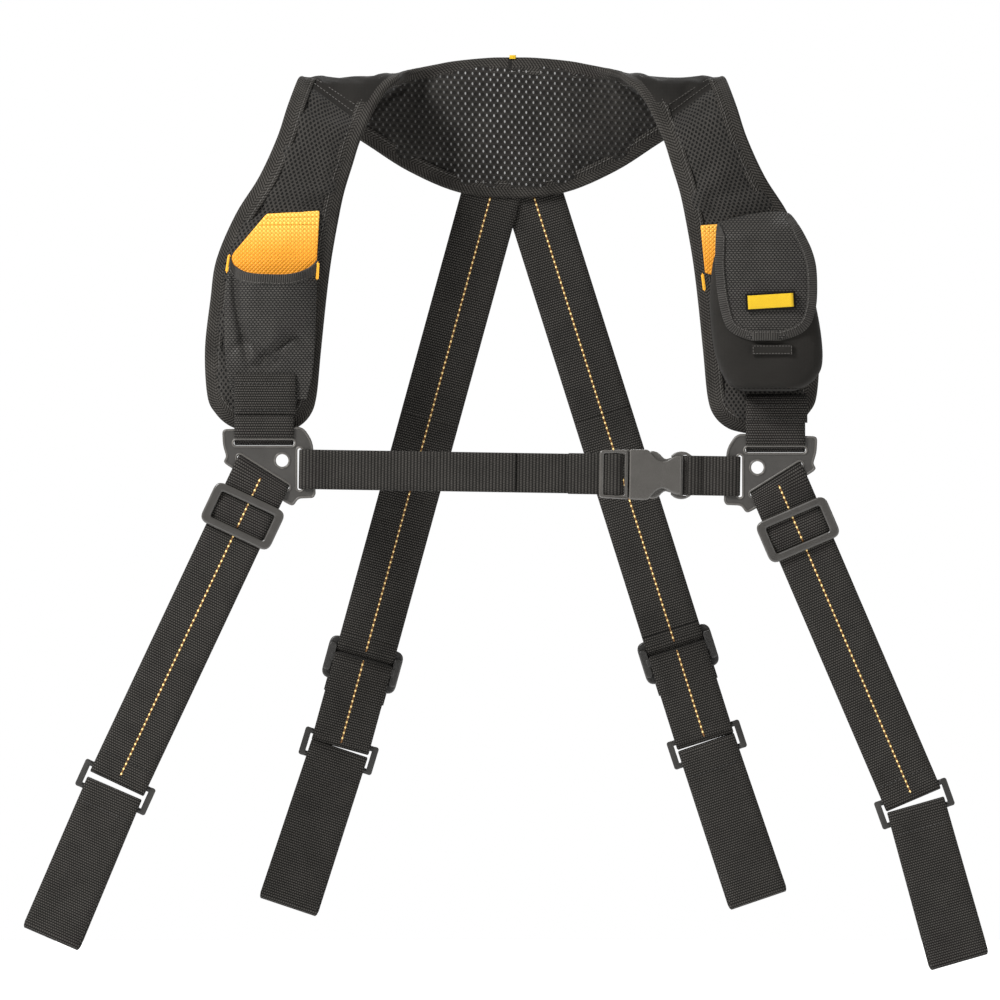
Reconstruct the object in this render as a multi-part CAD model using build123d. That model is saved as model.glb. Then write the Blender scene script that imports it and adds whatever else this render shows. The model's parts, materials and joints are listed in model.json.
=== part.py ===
from build123d import *
import os
from math import cos, radians, sin

# Tool-belt suspenders: a padded yoke worn over the shoulders, two triangular plates below its front
# pads, a chest strap with a side-release buckle, and four adjustable straps that end in belt loops.
# Millimetres. +X is the wearer's left, -Y is the wearer's front, +Z is up.
# The origin lies midway between the shoulders, level with the underside of the shoulder arches.

# ---- yoke ----
PAD_T = 10.0                # thickness of the padding
ARCH_R = 34.0               # inner radius of the arch over the shoulder
ARCH_TOP_Z = PAD_T          # top of the arch, the padding sits above the origin's level
ARCH_Z = ARCH_TOP_Z - ARCH_R - PAD_T
FRONT_Y = -(ARCH_R + PAD_T)  # outer face of the front pads
BACK_Y = ARCH_R             # inner face of the back panel
SEAM_Z = -10.0              # front pads end and shoulder covers start here
BINDING_W = 5.0             # width of the rim under the binding tape
BINDING_LIP = 0.6           # the tape stands proud of the padding by this much
PANEL_HALF_W = 72.0         # the back panel's half width, where it meets the shoulders
COLLAR_Z = 19.0             # top of the collar, at its centre
PANEL_BOTTOM_Z = -69.0

# ---- webbing ----
WEB_W = 38.0                # main webbing
CHEST_W = 25.4              # chest webbing
WEB_T = 1.6
BAR_D = 3.6                 # round bars of the rings
TURN_R = 2.2                # inner radius of webbing turned around a bar
TURN_Y = TURN_R + WEB_T / 2  # from the middle of the webbing to the bar's centre
BAR_SLACK = 1.5             # the bar sits this far from the bottom of its turn
FLEX_GAP = 1.4              # gap at a line where webbing bends

# ---- plates ----
PLATE_T = 3.0
PLATE_Y = -49.0             # middle of the plates, the chest strap and the front straps
SLOT_W = 3.4
HOLE_R = 4.0
TOP_SLOT = {"left": (-158.7, -227.8), "right": (168.6, -232.3)}
PLATE_HOLE = (11.6, -11.2)     # from the top slot, first value towards the centre of the chest
CHEST_SLOT = (23.1, -16.8)
STRAP_SLOT = (-0.5, -18.8)
STRAP_SLOT_TILT = 32.0
SWING_RISE = 13.5           # the plates swing about a line this far above their top slots
PATCH_H = {"left": 28.6, "right": 18.2}   # webbing patches on the pads, above the swing line

# ---- chest buckle, placed by its left end ----
BUCKLE_L = 58.0
BUCKLE_H = 32.0
BUCKLE_T = 10.0
LADDER_L = 19.0
CAVITY_T = 5.6
PRONG_T = 4.4
PRONG_PIVOT = (50.0, 10.6)

# ---- four hanging straps ----
# start: the top of the strap. lean and loop: the strap's and the belt loop's lean from the vertical,
# towards +X. adjuster and ring: their distances down the strap.
RING_PITCH = 15.0           # between the two round bars of a ring
RING_W = 49.0
RING_RAIL = 4.0
LOOP_GAP = 5.0              # room for a belt between the two layers of a belt loop
LOOP_DROP = 98.5            # from the ring's lower bar to the bottom of a belt loop
REAR_Y = {"left": 39.9, "right": 42.1}
HANGING = {
    "front_left": {"start": (-159.2, -246.6), "lean": -25.2, "adjuster": 31.0, "ring": 222.5, "loop": -23.4},
    "front_right": {"start": (169.1, -251.1), "lean": 23.2, "adjuster": 35.0, "ring": 225.5, "loop": 16.0},
    "rear_left": {"start": (-13.7, -69.1), "lean": -15.3, "adjuster": 312.0, "ring": 369.5, "loop": -18.5},
    "rear_right": {"start": (14.0, -69.1), "lean": 17.5, "adjuster": 308.5, "ring": 369.5, "loop": 18.8},
}
FRONT_TOP = 13.6            # the hanging part of a front strap starts this far below its slot
FOLD_DROP = 2.0             # its doubled layer starts this much lower
FRONT_FIXED = 118.0         # the adjuster slides on this much of a front strap
REAR_TOP_Z = -72.5
REAR_FIXED = 150.0
REAR_END = 236.0            # the rear adjuster slides on the webbing below this distance
REAR_SEWN_GAP = 2.0         # from the rear adjuster to the end of the webbing sewn on it
END_L = 16.0                # the front strap end, above the ring

# ---- adjusters ----
ADJUSTER_W = 48.0
ADJUSTER_H = 27.0
ADJUSTER_RAIL = 4.0
ADJUSTER_BAR = 5.2
BAR_NEAR = 1.2              # from the middle of the webbing to a bar's near face
BAR_FAR = 3.5

# ---- pockets on the pads ----
BACKING_Y = FRONT_Y - BINDING_LIP - 0.2   # rear face of what is sewn onto the pads
BACKING_T = 1.0
POCKET_Y = BACKING_Y - BACKING_T - 0.2
CLOTH_T = 1.6
PEN_X = -153.6
PEN_W = 52.0
PEN_TOP_Z = -110.0
PEN_BOTTOM_Z = -184.0
PEN_DEPTH = 16.0
PHONE_X = 163.5
PHONE_W = 72.0
PHONE_TOP_Z = -102.0
PHONE_BOTTOM_Z = -199.0
PHONE_DEPTH = 26.0
FLAP_T = 1.8
FLAP_HINGE = (POCKET_Y - 0.6, -82.3)

FAR = 300.0                 # beyond the object, for cutters and covers
CLEAR = 0.4                 # between webbing and the bar that it goes around


def xz_face(outline):
    """A face in the XZ plane from an outline of (x, z) points."""
    return make_face(Plane.XZ * Polyline(*outline, close=True))


def smooth(edge):
    """Points along a smooth curve through the given ones."""
    curve = Spline(*edge)
    steps = 4 * len(edge)
    return [(point.X, point.Y) for point in (curve @ (step / steps) for step in range(steps + 1))]


def curved_face(edge, closing):
    """A face in the XZ plane: a smooth edge through some points, closed by straight lines."""
    return xz_face(smooth(edge) + closing)


def slab(face, front_y, back_y):
    """A face from the XZ plane, made into a solid from front_y to back_y."""
    return Pos(0, back_y, 0) * extrude(face, amount=back_y - front_y, dir=(0, -1, 0))


def mirrored(shape):
    return mirror(shape, about=Plane.YZ)


def block(x_range, y_range, z_range):
    size = [high - low for low, high in (x_range, y_range, z_range)]
    middle = [(high + low) / 2 for low, high in (x_range, y_range, z_range)]
    return Pos(*middle) * Box(*size)


def save(name, shape):
    """Writes one sub-part as a single solid."""
    export_step(shape.solids()[0], f"parts/{name}.step")


# ---- yoke: padding, shoulder covers, back panel and binding ----

PAD_EDGE = [(72, 10), (97, -29), (108, -67), (117, -111), (123, -162), (126.5, -200), (140, -218), (158, -221),
            (180, -216), (193.5, -199), (195, -165), (190, -118), (176, -85), (153, -47), (141, -6), (137, 10)]
WING_EDGE = [(137, 10), (133, 0), (118, -16), (97, -31), (83, -42), (72, -48)]
LENS_EDGE = [(-72, -48), (-56, -57), (-34, -66), (0, PANEL_BOTTOM_Z), (34, -66), (56, -57), (72, -48)]
COLLAR_EDGE = [(72, 7.7), (48.6, 14.7), (0, COLLAR_Z), (-48.6, 14.7), (-72, 7.7)]


def arch(extra):
    """The cross-section of the yoke, run along X: two walls joined over the shoulder."""
    outer = ARCH_R + PAD_T + extra
    inner = ARCH_R - extra
    drop = FAR
    section = []
    for radius in (outer, inner):
        section.append(Pos(0, ARCH_Z) * Circle(radius) + Pos(0, ARCH_Z - drop / 2) * Rectangle(2 * radius, drop))
    return extrude(Plane.YZ * (section[0] - section[1]), amount=FAR, both=True)


def yoke_side():
    """The pad, shoulder and binding on the +X side."""
    pad_face = curved_face(PAD_EDGE, [])
    wing_face = curved_face(WING_EDGE, [(72, 10)])
    pad_core = offset(pad_face, amount=-BINDING_W, kind=Kind.INTERSECTION)
    front_core = slab(pad_core, -FAR, 0)
    front_rim = slab(pad_face, -FAR, 0) - front_core
    back_core = slab(wing_face, 0, FAR)
    below = block((0, FAR), (-FAR, 0), (-FAR, SEAM_Z))
    pad = arch(0) & front_core & below
    shoulder = (arch(0) & front_core) - below + (arch(0) & back_core)
    return pad, shoulder, arch(BINDING_LIP) & front_rim


def back_panel():
    face = xz_face(smooth(LENS_EDGE) + smooth(COLLAR_EDGE))
    lens = slab(face, BACK_Y, BACK_Y + PAD_T)
    core_face = offset(face, amount=-BINDING_W, kind=Kind.INTERSECTION)
    seam_low, seam_high = LENS_EDGE[0][1], COLLAR_EDGE[0][1]
    sides = block((-PANEL_HALF_W, PANEL_HALF_W), (0, FAR), (seam_low, seam_high))
    core = lens & (slab(core_face, 0, FAR) + sides)
    lower_rim, upper_rim = (lens - core).solids().sort_by(Axis.Z)
    return core, lower_rim, upper_rim


def back_channel():
    """The trapezium sewn into the middle of the back panel."""
    outline = [(-19.5, -5), (19.5, -5), (26, -48), (-24, -48)]
    proud, gap = 2.4, 0.2
    return slab(xz_face(outline), BACK_Y - proud, BACK_Y - gap)


# ---- plates ----

PLATE_OUTLINE = [(-26.8, 8.8), (24.9, 10.5), (31.3, 1.0), (33.1, -32.8), (31.6, -35.2), (22.1, -35.6), (18.5, -40.6),
                 (13.9, -38.3), (-24.5, -13.6), (-25.9, -11.8), (-24.1, -8.6), (-26.3, -1.7)]


def plate(side):
    """A plate with three webbing slots and a round hole; the outline is the one on the -X side."""
    body = slab(xz_face(PLATE_OUTLINE), -PLATE_T / 2, PLATE_T / 2)
    room = 3.0
    slot = SlotOverall(WEB_W + room, SLOT_W)
    chest_slot = Rot(0, 0, 90) * SlotOverall(CHEST_W + room + 1.0, SLOT_W)
    for cut, place, tilt in ((slot, (0, 0), 0), (chest_slot, CHEST_SLOT, 0), (slot, STRAP_SLOT, STRAP_SLOT_TILT)):
        cutter = extrude(Plane.XZ * cut, amount=PLATE_T, both=True)
        body = body - Pos(place[0], 0, place[1]) * Rot(0, tilt, 0) * cutter
    hole = Rot(90, 0, 0) * Cylinder(HOLE_R, 2 * PLATE_T)
    body = body - Pos(PLATE_HOLE[0], 0, PLATE_HOLE[1]) * hole
    if side == "right":
        body = mirrored(body)
    x, z = TOP_SLOT[side]
    return Pos(x, PLATE_Y, z) * body


def plate_point(side, place):
    """A place on a plate, measured from its top slot, in the object's frame."""
    x, z = TOP_SLOT[side]
    inward = 1 if side == "left" else -1
    return x + inward * place[0], z + place[1]


# ---- webbing turned around a bar ----

def loop_around(bar_w, bar_t, tail, width):
    """Webbing that goes around a flat bar and closes into a tail; the bar is centred on the origin."""
    room = bar_t / 2 + CLEAR
    reach = bar_w / 2 + CLEAR + 0.1
    taper = 4.0
    outer = [(-reach - WEB_T, -room), (-reach, -room - WEB_T), (reach, -room - WEB_T), (reach + taper, -WEB_T),
             (reach + taper + tail, -WEB_T)]
    inner = [(-reach, -room), (reach, -room), (reach + taper - 1.5, 0)]
    outline = outer + [(along, -across) for along, across in reversed(outer)]
    hollow = inner + [(along, -across) for along, across in reversed(inner[:-1])]
    section = make_face(Polyline(*outline, close=True)) - make_face(Polyline(*hollow, close=True))
    return extrude(section, amount=width / 2, both=True)


LOOP_TAIL = 20.0            # more than the length kept of the webbing that leaves a plate


def anchor_loop(side):
    """The webbing through a plate's top slot, below the line where the plate swings."""
    x, z = TOP_SLOT[side]
    bar_top = 10.5
    bar_bottom = SLOT_W / 2
    bar_w = bar_top - bar_bottom
    wrap = loop_around(bar_w, PLATE_T, LOOP_TAIL, WEB_W)
    place = Pos(x, PLATE_Y, z + (bar_top + bar_bottom) / 2) * Rot(0, -90, 0)
    cover = block((-FAR, FAR), (-FAR, FAR), (-FAR, z + SWING_RISE - FLEX_GAP / 2))
    return (place * wrap) & cover


def anchor_patch(side):
    """Webbing sewn onto the bottom of a pad, above the plate."""
    x, z = TOP_SLOT[side]
    bottom = z + SWING_RISE + FLEX_GAP / 2
    height = PATCH_H[side]
    return block((x - WEB_W / 2, x + WEB_W / 2), (BACKING_Y - 2 * WEB_T, BACKING_Y), (bottom, bottom + height))


def strap_loop(side):
    """The webbing through a plate's slanted slot, above the line where the front strap swings."""
    name = f"front_{side}"
    chain = HANGING[name]
    bar_w = 7.4
    wrap = loop_around(bar_w, PLATE_T, LOOP_TAIL, WEB_W)
    middle = SLOT_W / 2 + bar_w / 2 - CLEAR / 2
    tilt = -STRAP_SLOT_TILT if side == "left" else STRAP_SLOT_TILT
    x, z = chain["start"]
    local = Pos(x, PLATE_Y, z) * Rot(0, -tilt, 0)
    along = Pos(x, PLATE_Y, z) * Rot(0, -chain["lean"], 0)
    cover = along * block((-FAR, FAR), (-FAR, FAR), (FLEX_GAP - FRONT_TOP, FAR))
    return (local * Pos(0, 0, -middle) * Rot(0, 90, 0) * wrap) & cover


def chest_strap_line():
    """Start point, direction and lean of the chest strap, from one plate to the other."""
    left = plate_point("left", CHEST_SLOT)
    right = plate_point("right", CHEST_SLOT)
    run = Vector(right[0] - left[0], 0, right[1] - left[1])
    return left, run.length, Vector(1, 0, 0).get_signed_angle(run, Vector(0, 1, 0))


def on_chest(shape):
    """Places a shape made along the chest strap, from X = 0 at the left plate's slot."""
    start, _, lean = chest_strap_line()
    return Pos(start[0], PLATE_Y, start[1]) * Rot(0, lean, 0) * shape


CHEST_BAR = 8.8             # width of the plate beside the upright slot
BUCKLE_AT = 191.6           # from the left plate's slot to the buckle's left end
HEM_AT = 138.0              # the doubled part of the chest webbing ends here
TAIL_L = 20.5               # folded webbing that leaves the buckle
CHEST_TAPER_END = 20.0      # the chest strap is flat from this distance


def chest_loop():
    wrap = loop_around(CHEST_BAR, PLATE_T, 12.0, CHEST_W)
    return Pos(SLOT_W / 2 + CHEST_BAR / 2, 0, 0) * wrap


def chest_strap_left():
    doubled = block((CHEST_TAPER_END, HEM_AT), (-WEB_T, WEB_T), (-CHEST_W / 2, CHEST_W / 2))
    return chest_loop() + doubled


def chest_slack():
    """The single webbing between the hem and the buckle's ladder, which shortens as the buckle slides."""
    end = BUCKLE_AT + LADDER_L - 4.5
    return block((HEM_AT, end), (-WEB_T / 2, WEB_T / 2), (-CHEST_W / 2, CHEST_W / 2))


def chest_tail():
    """The folded end that comes back out of the ladder, in front of the strap."""
    end = BUCKLE_AT - 0.6
    half = CHEST_W / 2 + 0.4
    return block((end - TAIL_L, end), (-WEB_T * 2.5, -WEB_T * 1.5 + 0.3), (-half, half))


def chest_strap_right():
    _, length, _ = chest_strap_line()
    wrap = Rot(0, 0, 180) * chest_loop()
    bar_end = BUCKLE_AT + BUCKLE_L + 1.0
    near_bar = Pos(bar_end - 1.5, 0, 0) * loop_around(3.0, 3.0, 2.0, CHEST_W)
    middle = block((bar_end + 6.0, length - 18.0), (-WEB_T, WEB_T), (-CHEST_W / 2, CHEST_W / 2))
    return Pos(length, 0, 0) * wrap + near_bar + middle


# ---- side-release buckle, from X = 0 at its left end ----

def buckle_socket():
    half = BUCKLE_H / 2
    mouth = 52.5
    outline = [(0, -half + 1), (0, half - 1), (33, half), (40.3, 9.6), (46, 13), (mouth, 13), (mouth, -13), (46, -13),
               (40.3, -9.6), (33, -half)]
    body = slab(xz_face(outline), -BUCKLE_T / 2, BUCKLE_T / 2)
    cavity = block((22, mouth + 1), (-CAVITY_T / 2, CAVITY_T / 2), (-12.6, 12.6))
    sides = block((33, mouth + 1), (-CAVITY_T / 2, CAVITY_T / 2), (-half, half))
    window = block((4.2, LADDER_L - 4), (-BUCKLE_T, BUCKLE_T), (-13.2, 13.2))
    relief = block((-1, LADDER_L), (1.8, BUCKLE_T), (-half, half))
    passage = block((-1, LADDER_L - 4), (-1.2, BUCKLE_T), (-13.2, 13.2))
    return body - cavity - sides - window - relief - passage


def buckle_plug():
    """The part that the prongs belong to, with a bar for the short chest strap."""
    bar_end = BUCKLE_L + 1.0
    base = block((50.5, 53), (-PRONG_T / 2, PRONG_T / 2), (-8.2, 8.2))
    guide = block((26, 51), (-PRONG_T / 2, PRONG_T / 2), (-2.2, 2.2))
    frame = base + guide
    for side in (-1, 1):
        low, high = sorted((side * 13.1, side * 15.7))
        frame = frame + block((51.5, bar_end), (-PRONG_T / 2, PRONG_T / 2), (low, high))
        low, high = sorted((side * 8.2, side * 15.7))
        frame = frame + block((51.5, 53), (-PRONG_T / 2, PRONG_T / 2), (low, high))
    bar = block((bar_end - 3.0, bar_end), (-1.5, 1.5), (-15.7, 15.7))
    return frame + bar


def prong(side):
    """One springy arm; side is 1 for the upper and -1 for the lower."""
    x, z = PRONG_PIVOT
    arm = [(x + 1, z - 2.2), (x + 1, z + 1.4), (x - 5, z + 1.4), (x - 10, z - 1.6), (27, 10.6), (25, 8.2), (28, 6.2),
           (x - 10, z - 5.2)]
    return slab(xz_face([(along, side * height) for along, height in arm]), -PRONG_T / 2, PRONG_T / 2)


# ---- hanging straps; local frames start at the strap's top, +Z runs back up the strap ----

def web(start, end, y=0.0, width=WEB_W):
    """Flat webbing from one distance below the strap's start to another."""
    return block((-width / 2, width / 2), (y - WEB_T / 2, y + WEB_T / 2), (-end, -start))


def turn(at, return_l, side):
    """The end of a strap, turned around a ring's bar towards -Y or +Y, with the layer that comes back."""
    centre_y = side * TURN_Y
    centre_z = -at - BAR_SLACK
    outer = Rot(0, 90, 0) * Cylinder(TURN_R + WEB_T, WEB_W)
    inner = Rot(0, 90, 0) * Cylinder(TURN_R, WEB_W + 2)
    half = Pos(0, centre_y, centre_z) * (outer - inner)
    half = half & block((-30, 30), (centre_y - 10, centre_y + 10), (centre_z - 10, centre_z))
    back_layer = web(at + BAR_SLACK - return_l, at + BAR_SLACK, side * 2 * TURN_Y)
    return half + back_layer


def adjuster(side):
    """A frame with two outer bars on one side of the webbing and a middle bar on its other side."""
    half_w = ADJUSTER_W / 2
    half_h = ADJUSTER_H / 2
    depths = sorted((side * BAR_FAR, -side * BAR_FAR))
    body = Box(ADJUSTER_W, depths[1] - depths[0], ADJUSTER_H)
    body = fillet(body.edges().filter_by(Axis.Y), 4.5)
    body = body - Box(ADJUSTER_W - 2 * ADJUSTER_RAIL, 20, ADJUSTER_H + 2)
    outer_y = sorted((side * BAR_NEAR, side * BAR_FAR))
    inner_y = sorted((-side * BAR_NEAR, -side * BAR_FAR))
    reach = half_w - ADJUSTER_RAIL
    for end in (-1, 1):
        low, high = sorted((end * half_h, end * (half_h - ADJUSTER_BAR)))
        body = body + block((-reach, reach), outer_y, (low, high))
    return body + block((-reach, reach), inner_y, (-ADJUSTER_BAR / 2, ADJUSTER_BAR / 2))


def ring():
    """A ring of two round bars and two rails, centred on its upper bar."""
    rail_h = RING_PITCH + BAR_D
    middle = -RING_PITCH / 2
    rail = Box(RING_RAIL, BAR_D, rail_h)
    body = None
    for side in (-1, 1):
        placed = Pos(side * (RING_W - RING_RAIL) / 2, 0, middle) * rail
        body = placed if body is None else body + placed
    body = fillet(body.edges().filter_by(Axis.Y), 1.6)
    bar = Rot(0, 90, 0) * Cylinder(BAR_D / 2, RING_W - RING_RAIL)
    return body + bar + Pos(0, 0, -RING_PITCH) * bar


def belt_loop():
    """A flat loop of webbing that hangs on the ring's lower bar, which is at the origin."""
    top = BAR_SLACK
    outer_r = LOOP_GAP / 2 + WEB_T
    bottom = -(LOOP_DROP - outer_r)
    shapes = []
    for radius in (outer_r, LOOP_GAP / 2):
        ends = Pos(0, top) * Circle(radius) + Pos(0, bottom) * Circle(radius)
        shapes.append(ends + Pos(0, (top + bottom) / 2) * Rectangle(2 * radius, top - bottom))
    return extrude(Plane.YZ * (shapes[0] - shapes[1]), amount=WEB_W / 2, both=True)


def strap_y(name):
    """The depth of a strap's webbing."""
    return PLATE_Y if name.startswith("front") else REAR_Y[name.split("_")[1]]


def fall(start, lean, distance):
    """The point a distance down a line that leans from the vertical towards +X."""
    return start[0] + distance * sin(radians(lean)), start[1] - distance * cos(radians(lean))


def hanging_strap(name):
    """Every piece of one strap, as a dictionary of node name to solid."""
    chain = HANGING[name]
    front = name.startswith("front")
    x, z = chain["start"]
    y = strap_y(name)
    top = Pos(x, y, z) * Rot(0, -chain["lean"], 0)
    upper_bar = chain["ring"] - RING_PITCH / 2
    turn_side = 1 if front else -1
    pieces = {}
    if front:
        end_start = upper_bar - END_L
        pieces["strap"] = top * web(FRONT_TOP, FRONT_FIXED)
        pieces["strap_slack"] = top * web(FRONT_FIXED, end_start)
        doubled_end = chain["adjuster"] - ADJUSTER_BAR / 2 - 1.0
        pieces["strap_fold"] = top * web(FRONT_TOP + FOLD_DROP, doubled_end, BAR_FAR + WEB_T / 2 + CLEAR)
        pieces["strap_end"] = top * (web(end_start, upper_bar + BAR_SLACK) + turn(upper_bar, END_L - 3.0, turn_side))
        pieces["adjuster"] = top * Pos(0, 0, -chain["adjuster"]) * adjuster(-1)
    else:
        fixed_top = block((-FAR, FAR), (0, FAR), (-2 * FAR, REAR_TOP_Z))
        end_start = REAR_END
        pieces["strap"] = (top * web(-20, REAR_FIXED)) & fixed_top
        pieces["strap_slack"] = top * web(REAR_FIXED, end_start)
        return_l = upper_bar - chain["adjuster"] - REAR_SEWN_GAP
        pieces["strap_end"] = top * (web(end_start, upper_bar + BAR_SLACK) + turn(upper_bar, return_l, turn_side))
        pieces["adjuster"] = top * Pos(0, 0, -chain["adjuster"]) * adjuster(1)
    bar_x, bar_z = fall(chain["start"], chain["lean"], upper_bar)
    bar_y = y + turn_side * TURN_Y
    ring_lean = (chain["lean"] + chain["loop"]) / 2
    pieces["ring"] = Pos(bar_x, bar_y, bar_z) * Rot(0, -ring_lean, 0) * ring()
    low_x, low_z = fall((bar_x, bar_z), ring_lean, RING_PITCH)
    pieces["belt_loop"] = Pos(low_x, bar_y, low_z) * Rot(0, -chain["loop"], 0) * belt_loop()
    return {f"{name}_{piece}": shape for piece, shape in pieces.items()}


# ---- pockets ----

def pen_pocket():
    """An open pocket that narrows towards its bottom."""
    front = POCKET_Y - PEN_DEPTH
    outer = [(POCKET_Y, PEN_TOP_Z), (front, PEN_TOP_Z), (front + 2, -165), (POCKET_Y - 5, PEN_BOTTOM_Z),
             (POCKET_Y, PEN_BOTTOM_Z)]
    inner = [(POCKET_Y - CLOTH_T, 0), (front + CLOTH_T, 0), (front + CLOTH_T, PEN_TOP_Z), (front + 2 + CLOTH_T, -164),
             (POCKET_Y - 5, PEN_BOTTOM_Z + CLOTH_T), (POCKET_Y - CLOTH_T, PEN_BOTTOM_Z + CLOTH_T)]
    shell = extrude(Plane.YZ * make_face(Polyline(*outer, close=True)), amount=PEN_W / 2, both=True)
    hollow = extrude(Plane.YZ * make_face(Polyline(*inner, close=True)), amount=PEN_W / 2 - CLOTH_T, both=True)
    return Pos(PEN_X, 0, 0) * (shell - hollow)


def phone_pouch():
    """An open-topped pouch with rounded front edges."""
    height = PHONE_TOP_Z - PHONE_BOTTOM_Z
    outer = Pos(0, POCKET_Y - PHONE_DEPTH / 2, PHONE_BOTTOM_Z + height / 2) * Box(PHONE_W, PHONE_DEPTH, height)
    front_edges = outer.edges().filter_by(Axis.Z).sort_by(Axis.Y)[:2]
    outer = fillet(front_edges, 8.0)
    hollow_w = PHONE_W - 2 * CLOTH_T
    hollow_d = PHONE_DEPTH - 2 * CLOTH_T
    hollow = Box(hollow_w, hollow_d, height)
    hollow = fillet(hollow.edges().filter_by(Axis.Z).sort_by(Axis.Y)[:2], 6.4)
    hollow = Pos(0, POCKET_Y - PHONE_DEPTH / 2, PHONE_BOTTOM_Z + height / 2 + CLOTH_T) * hollow
    return Pos(PHONE_X, 0, 0) * (outer - hollow)


FLAP_OUTLINE = [(132, -60), (172, -60), (188, -101), (194.5, -125), (191.5, -152), (176, -162.5), (152, -162.5),
                (137.5, -153), (131.8, -129), (131.2, -117)]


def pouch_flap():
    """The cover: a lid that leaves the pad and bends down over the front of the pouch."""
    hinge_y, hinge_z = FLAP_HINGE
    face_y = POCKET_Y - PHONE_DEPTH - 0.6
    front = face_y - FLAP_T
    profile = [(hinge_y, hinge_z), (-66, -84), (front, -94), (front, -170), (face_y, -170), (face_y, -95.5),
               (-65.5, -86.5), (hinge_y, hinge_z - FLAP_T)]
    lid = extrude(Plane.YZ * make_face(Polyline(*profile, close=True)), amount=250, both=True)
    return lid & slab(xz_face(FLAP_OUTLINE), -100, -30)


def yellow_backing(side):
    """The bright panel behind a pocket."""
    outlines = {
        "left": [(-179, -108), (-160, -82), (-123, -79), (-127, -112), (-128, -183), (-178, -183)],
        "right": [(121.5, -90), (147, -85.5), (186, -90), (191, -130), (191, -195), (129, -195), (123.5, -136)],
    }
    return slab(xz_face(outlines[side]), BACKING_Y - BACKING_T, BACKING_Y)


def flap_label():
    face_y = POCKET_Y - PHONE_DEPTH - 0.6 - FLAP_T - 0.1
    return block((150, 180.5), (face_y - 0.8, face_y), (-142.7, -131.8))


def pouch_tab():
    face_y = POCKET_Y - PHONE_DEPTH - 0.1
    return block((154.2, 178.6), (face_y - 1.0, face_y), (-171.5, -165.0))


def neck_tab():
    """A small bright tab at the middle of the collar."""
    return block((-3, 4), (BACK_Y + 3, BACK_Y + 5), (COLLAR_Z + 0.2, COLLAR_Z + 2.6))


def all_parts():
    pad, shoulder, binding = yoke_side()
    core, lower_rim, upper_rim = back_panel()
    parts = {
        "pad_right": pad, "pad_left": mirrored(pad),
        "shoulder_right": shoulder, "shoulder_left": mirrored(shoulder),
        "binding_right": binding, "binding_left": mirrored(binding),
        "back_panel": core, "back_binding": lower_rim, "collar_binding": upper_rim,
        "back_channel": back_channel(), "neck_tab": neck_tab(),
        "pen_pocket": pen_pocket(), "phone_pouch": phone_pouch(), "pouch_tab": pouch_tab(),
        "pouch_flap": pouch_flap(), "flap_label": flap_label(),
    }
    for side in ("left", "right"):
        parts[f"pocket_backing_{side}"] = yellow_backing(side)
        parts[f"anchor_patch_{side}"] = anchor_patch(side)
        parts[f"anchor_loop_{side}"] = anchor_loop(side)
        parts[f"plate_{side}"] = plate(side)
        parts[f"strap_loop_{side}"] = strap_loop(side)
    parts["chest_strap_left"] = on_chest(chest_strap_left())
    parts["chest_slack"] = on_chest(chest_slack())
    parts["chest_tail"] = on_chest(chest_tail())
    parts["chest_strap_right"] = on_chest(chest_strap_right())
    at_buckle = Pos(BUCKLE_AT, 0, 0)
    parts["buckle_socket"] = on_chest(at_buckle * buckle_socket())
    parts["buckle_plug"] = on_chest(at_buckle * buckle_plug())
    parts["prong_upper"] = on_chest(at_buckle * prong(1))
    parts["prong_lower"] = on_chest(at_buckle * prong(-1))
    for name in HANGING:
        parts.update(hanging_strap(name))
    return parts


os.makedirs("parts", exist_ok=True)
for node, solid in all_parts().items():
    save(node, solid)
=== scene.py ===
import json
import math

import bpy
from mathutils import Matrix, Vector, noise
from mathutils.kdtree import KDTree


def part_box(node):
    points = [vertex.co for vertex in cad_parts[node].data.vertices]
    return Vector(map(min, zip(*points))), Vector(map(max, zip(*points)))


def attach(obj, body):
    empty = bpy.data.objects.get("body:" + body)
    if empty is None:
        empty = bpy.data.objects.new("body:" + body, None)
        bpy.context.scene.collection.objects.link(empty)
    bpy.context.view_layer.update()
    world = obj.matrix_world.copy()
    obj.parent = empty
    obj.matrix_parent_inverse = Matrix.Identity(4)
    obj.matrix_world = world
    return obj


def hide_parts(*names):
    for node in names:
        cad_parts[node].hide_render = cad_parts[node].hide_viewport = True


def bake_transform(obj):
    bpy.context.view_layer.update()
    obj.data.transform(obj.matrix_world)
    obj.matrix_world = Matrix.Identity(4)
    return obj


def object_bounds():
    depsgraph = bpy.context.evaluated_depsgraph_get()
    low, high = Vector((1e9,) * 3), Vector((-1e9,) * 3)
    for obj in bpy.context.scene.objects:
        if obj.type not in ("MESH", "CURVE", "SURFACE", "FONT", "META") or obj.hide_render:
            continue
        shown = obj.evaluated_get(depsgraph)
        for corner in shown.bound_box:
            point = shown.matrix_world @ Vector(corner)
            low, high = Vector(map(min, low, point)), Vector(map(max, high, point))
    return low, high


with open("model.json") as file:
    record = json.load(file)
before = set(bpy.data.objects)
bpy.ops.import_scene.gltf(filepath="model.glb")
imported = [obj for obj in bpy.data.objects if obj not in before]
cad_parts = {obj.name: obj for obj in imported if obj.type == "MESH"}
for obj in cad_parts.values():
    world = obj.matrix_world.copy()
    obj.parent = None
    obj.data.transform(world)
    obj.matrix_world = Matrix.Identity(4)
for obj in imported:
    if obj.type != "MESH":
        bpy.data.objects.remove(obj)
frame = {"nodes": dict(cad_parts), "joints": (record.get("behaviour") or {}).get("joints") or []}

# Tool-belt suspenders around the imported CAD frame. Points are in millimetres until build() makes a mesh.
# +X is the wearer's left, -Y the wearer's front, +Z up.

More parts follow.
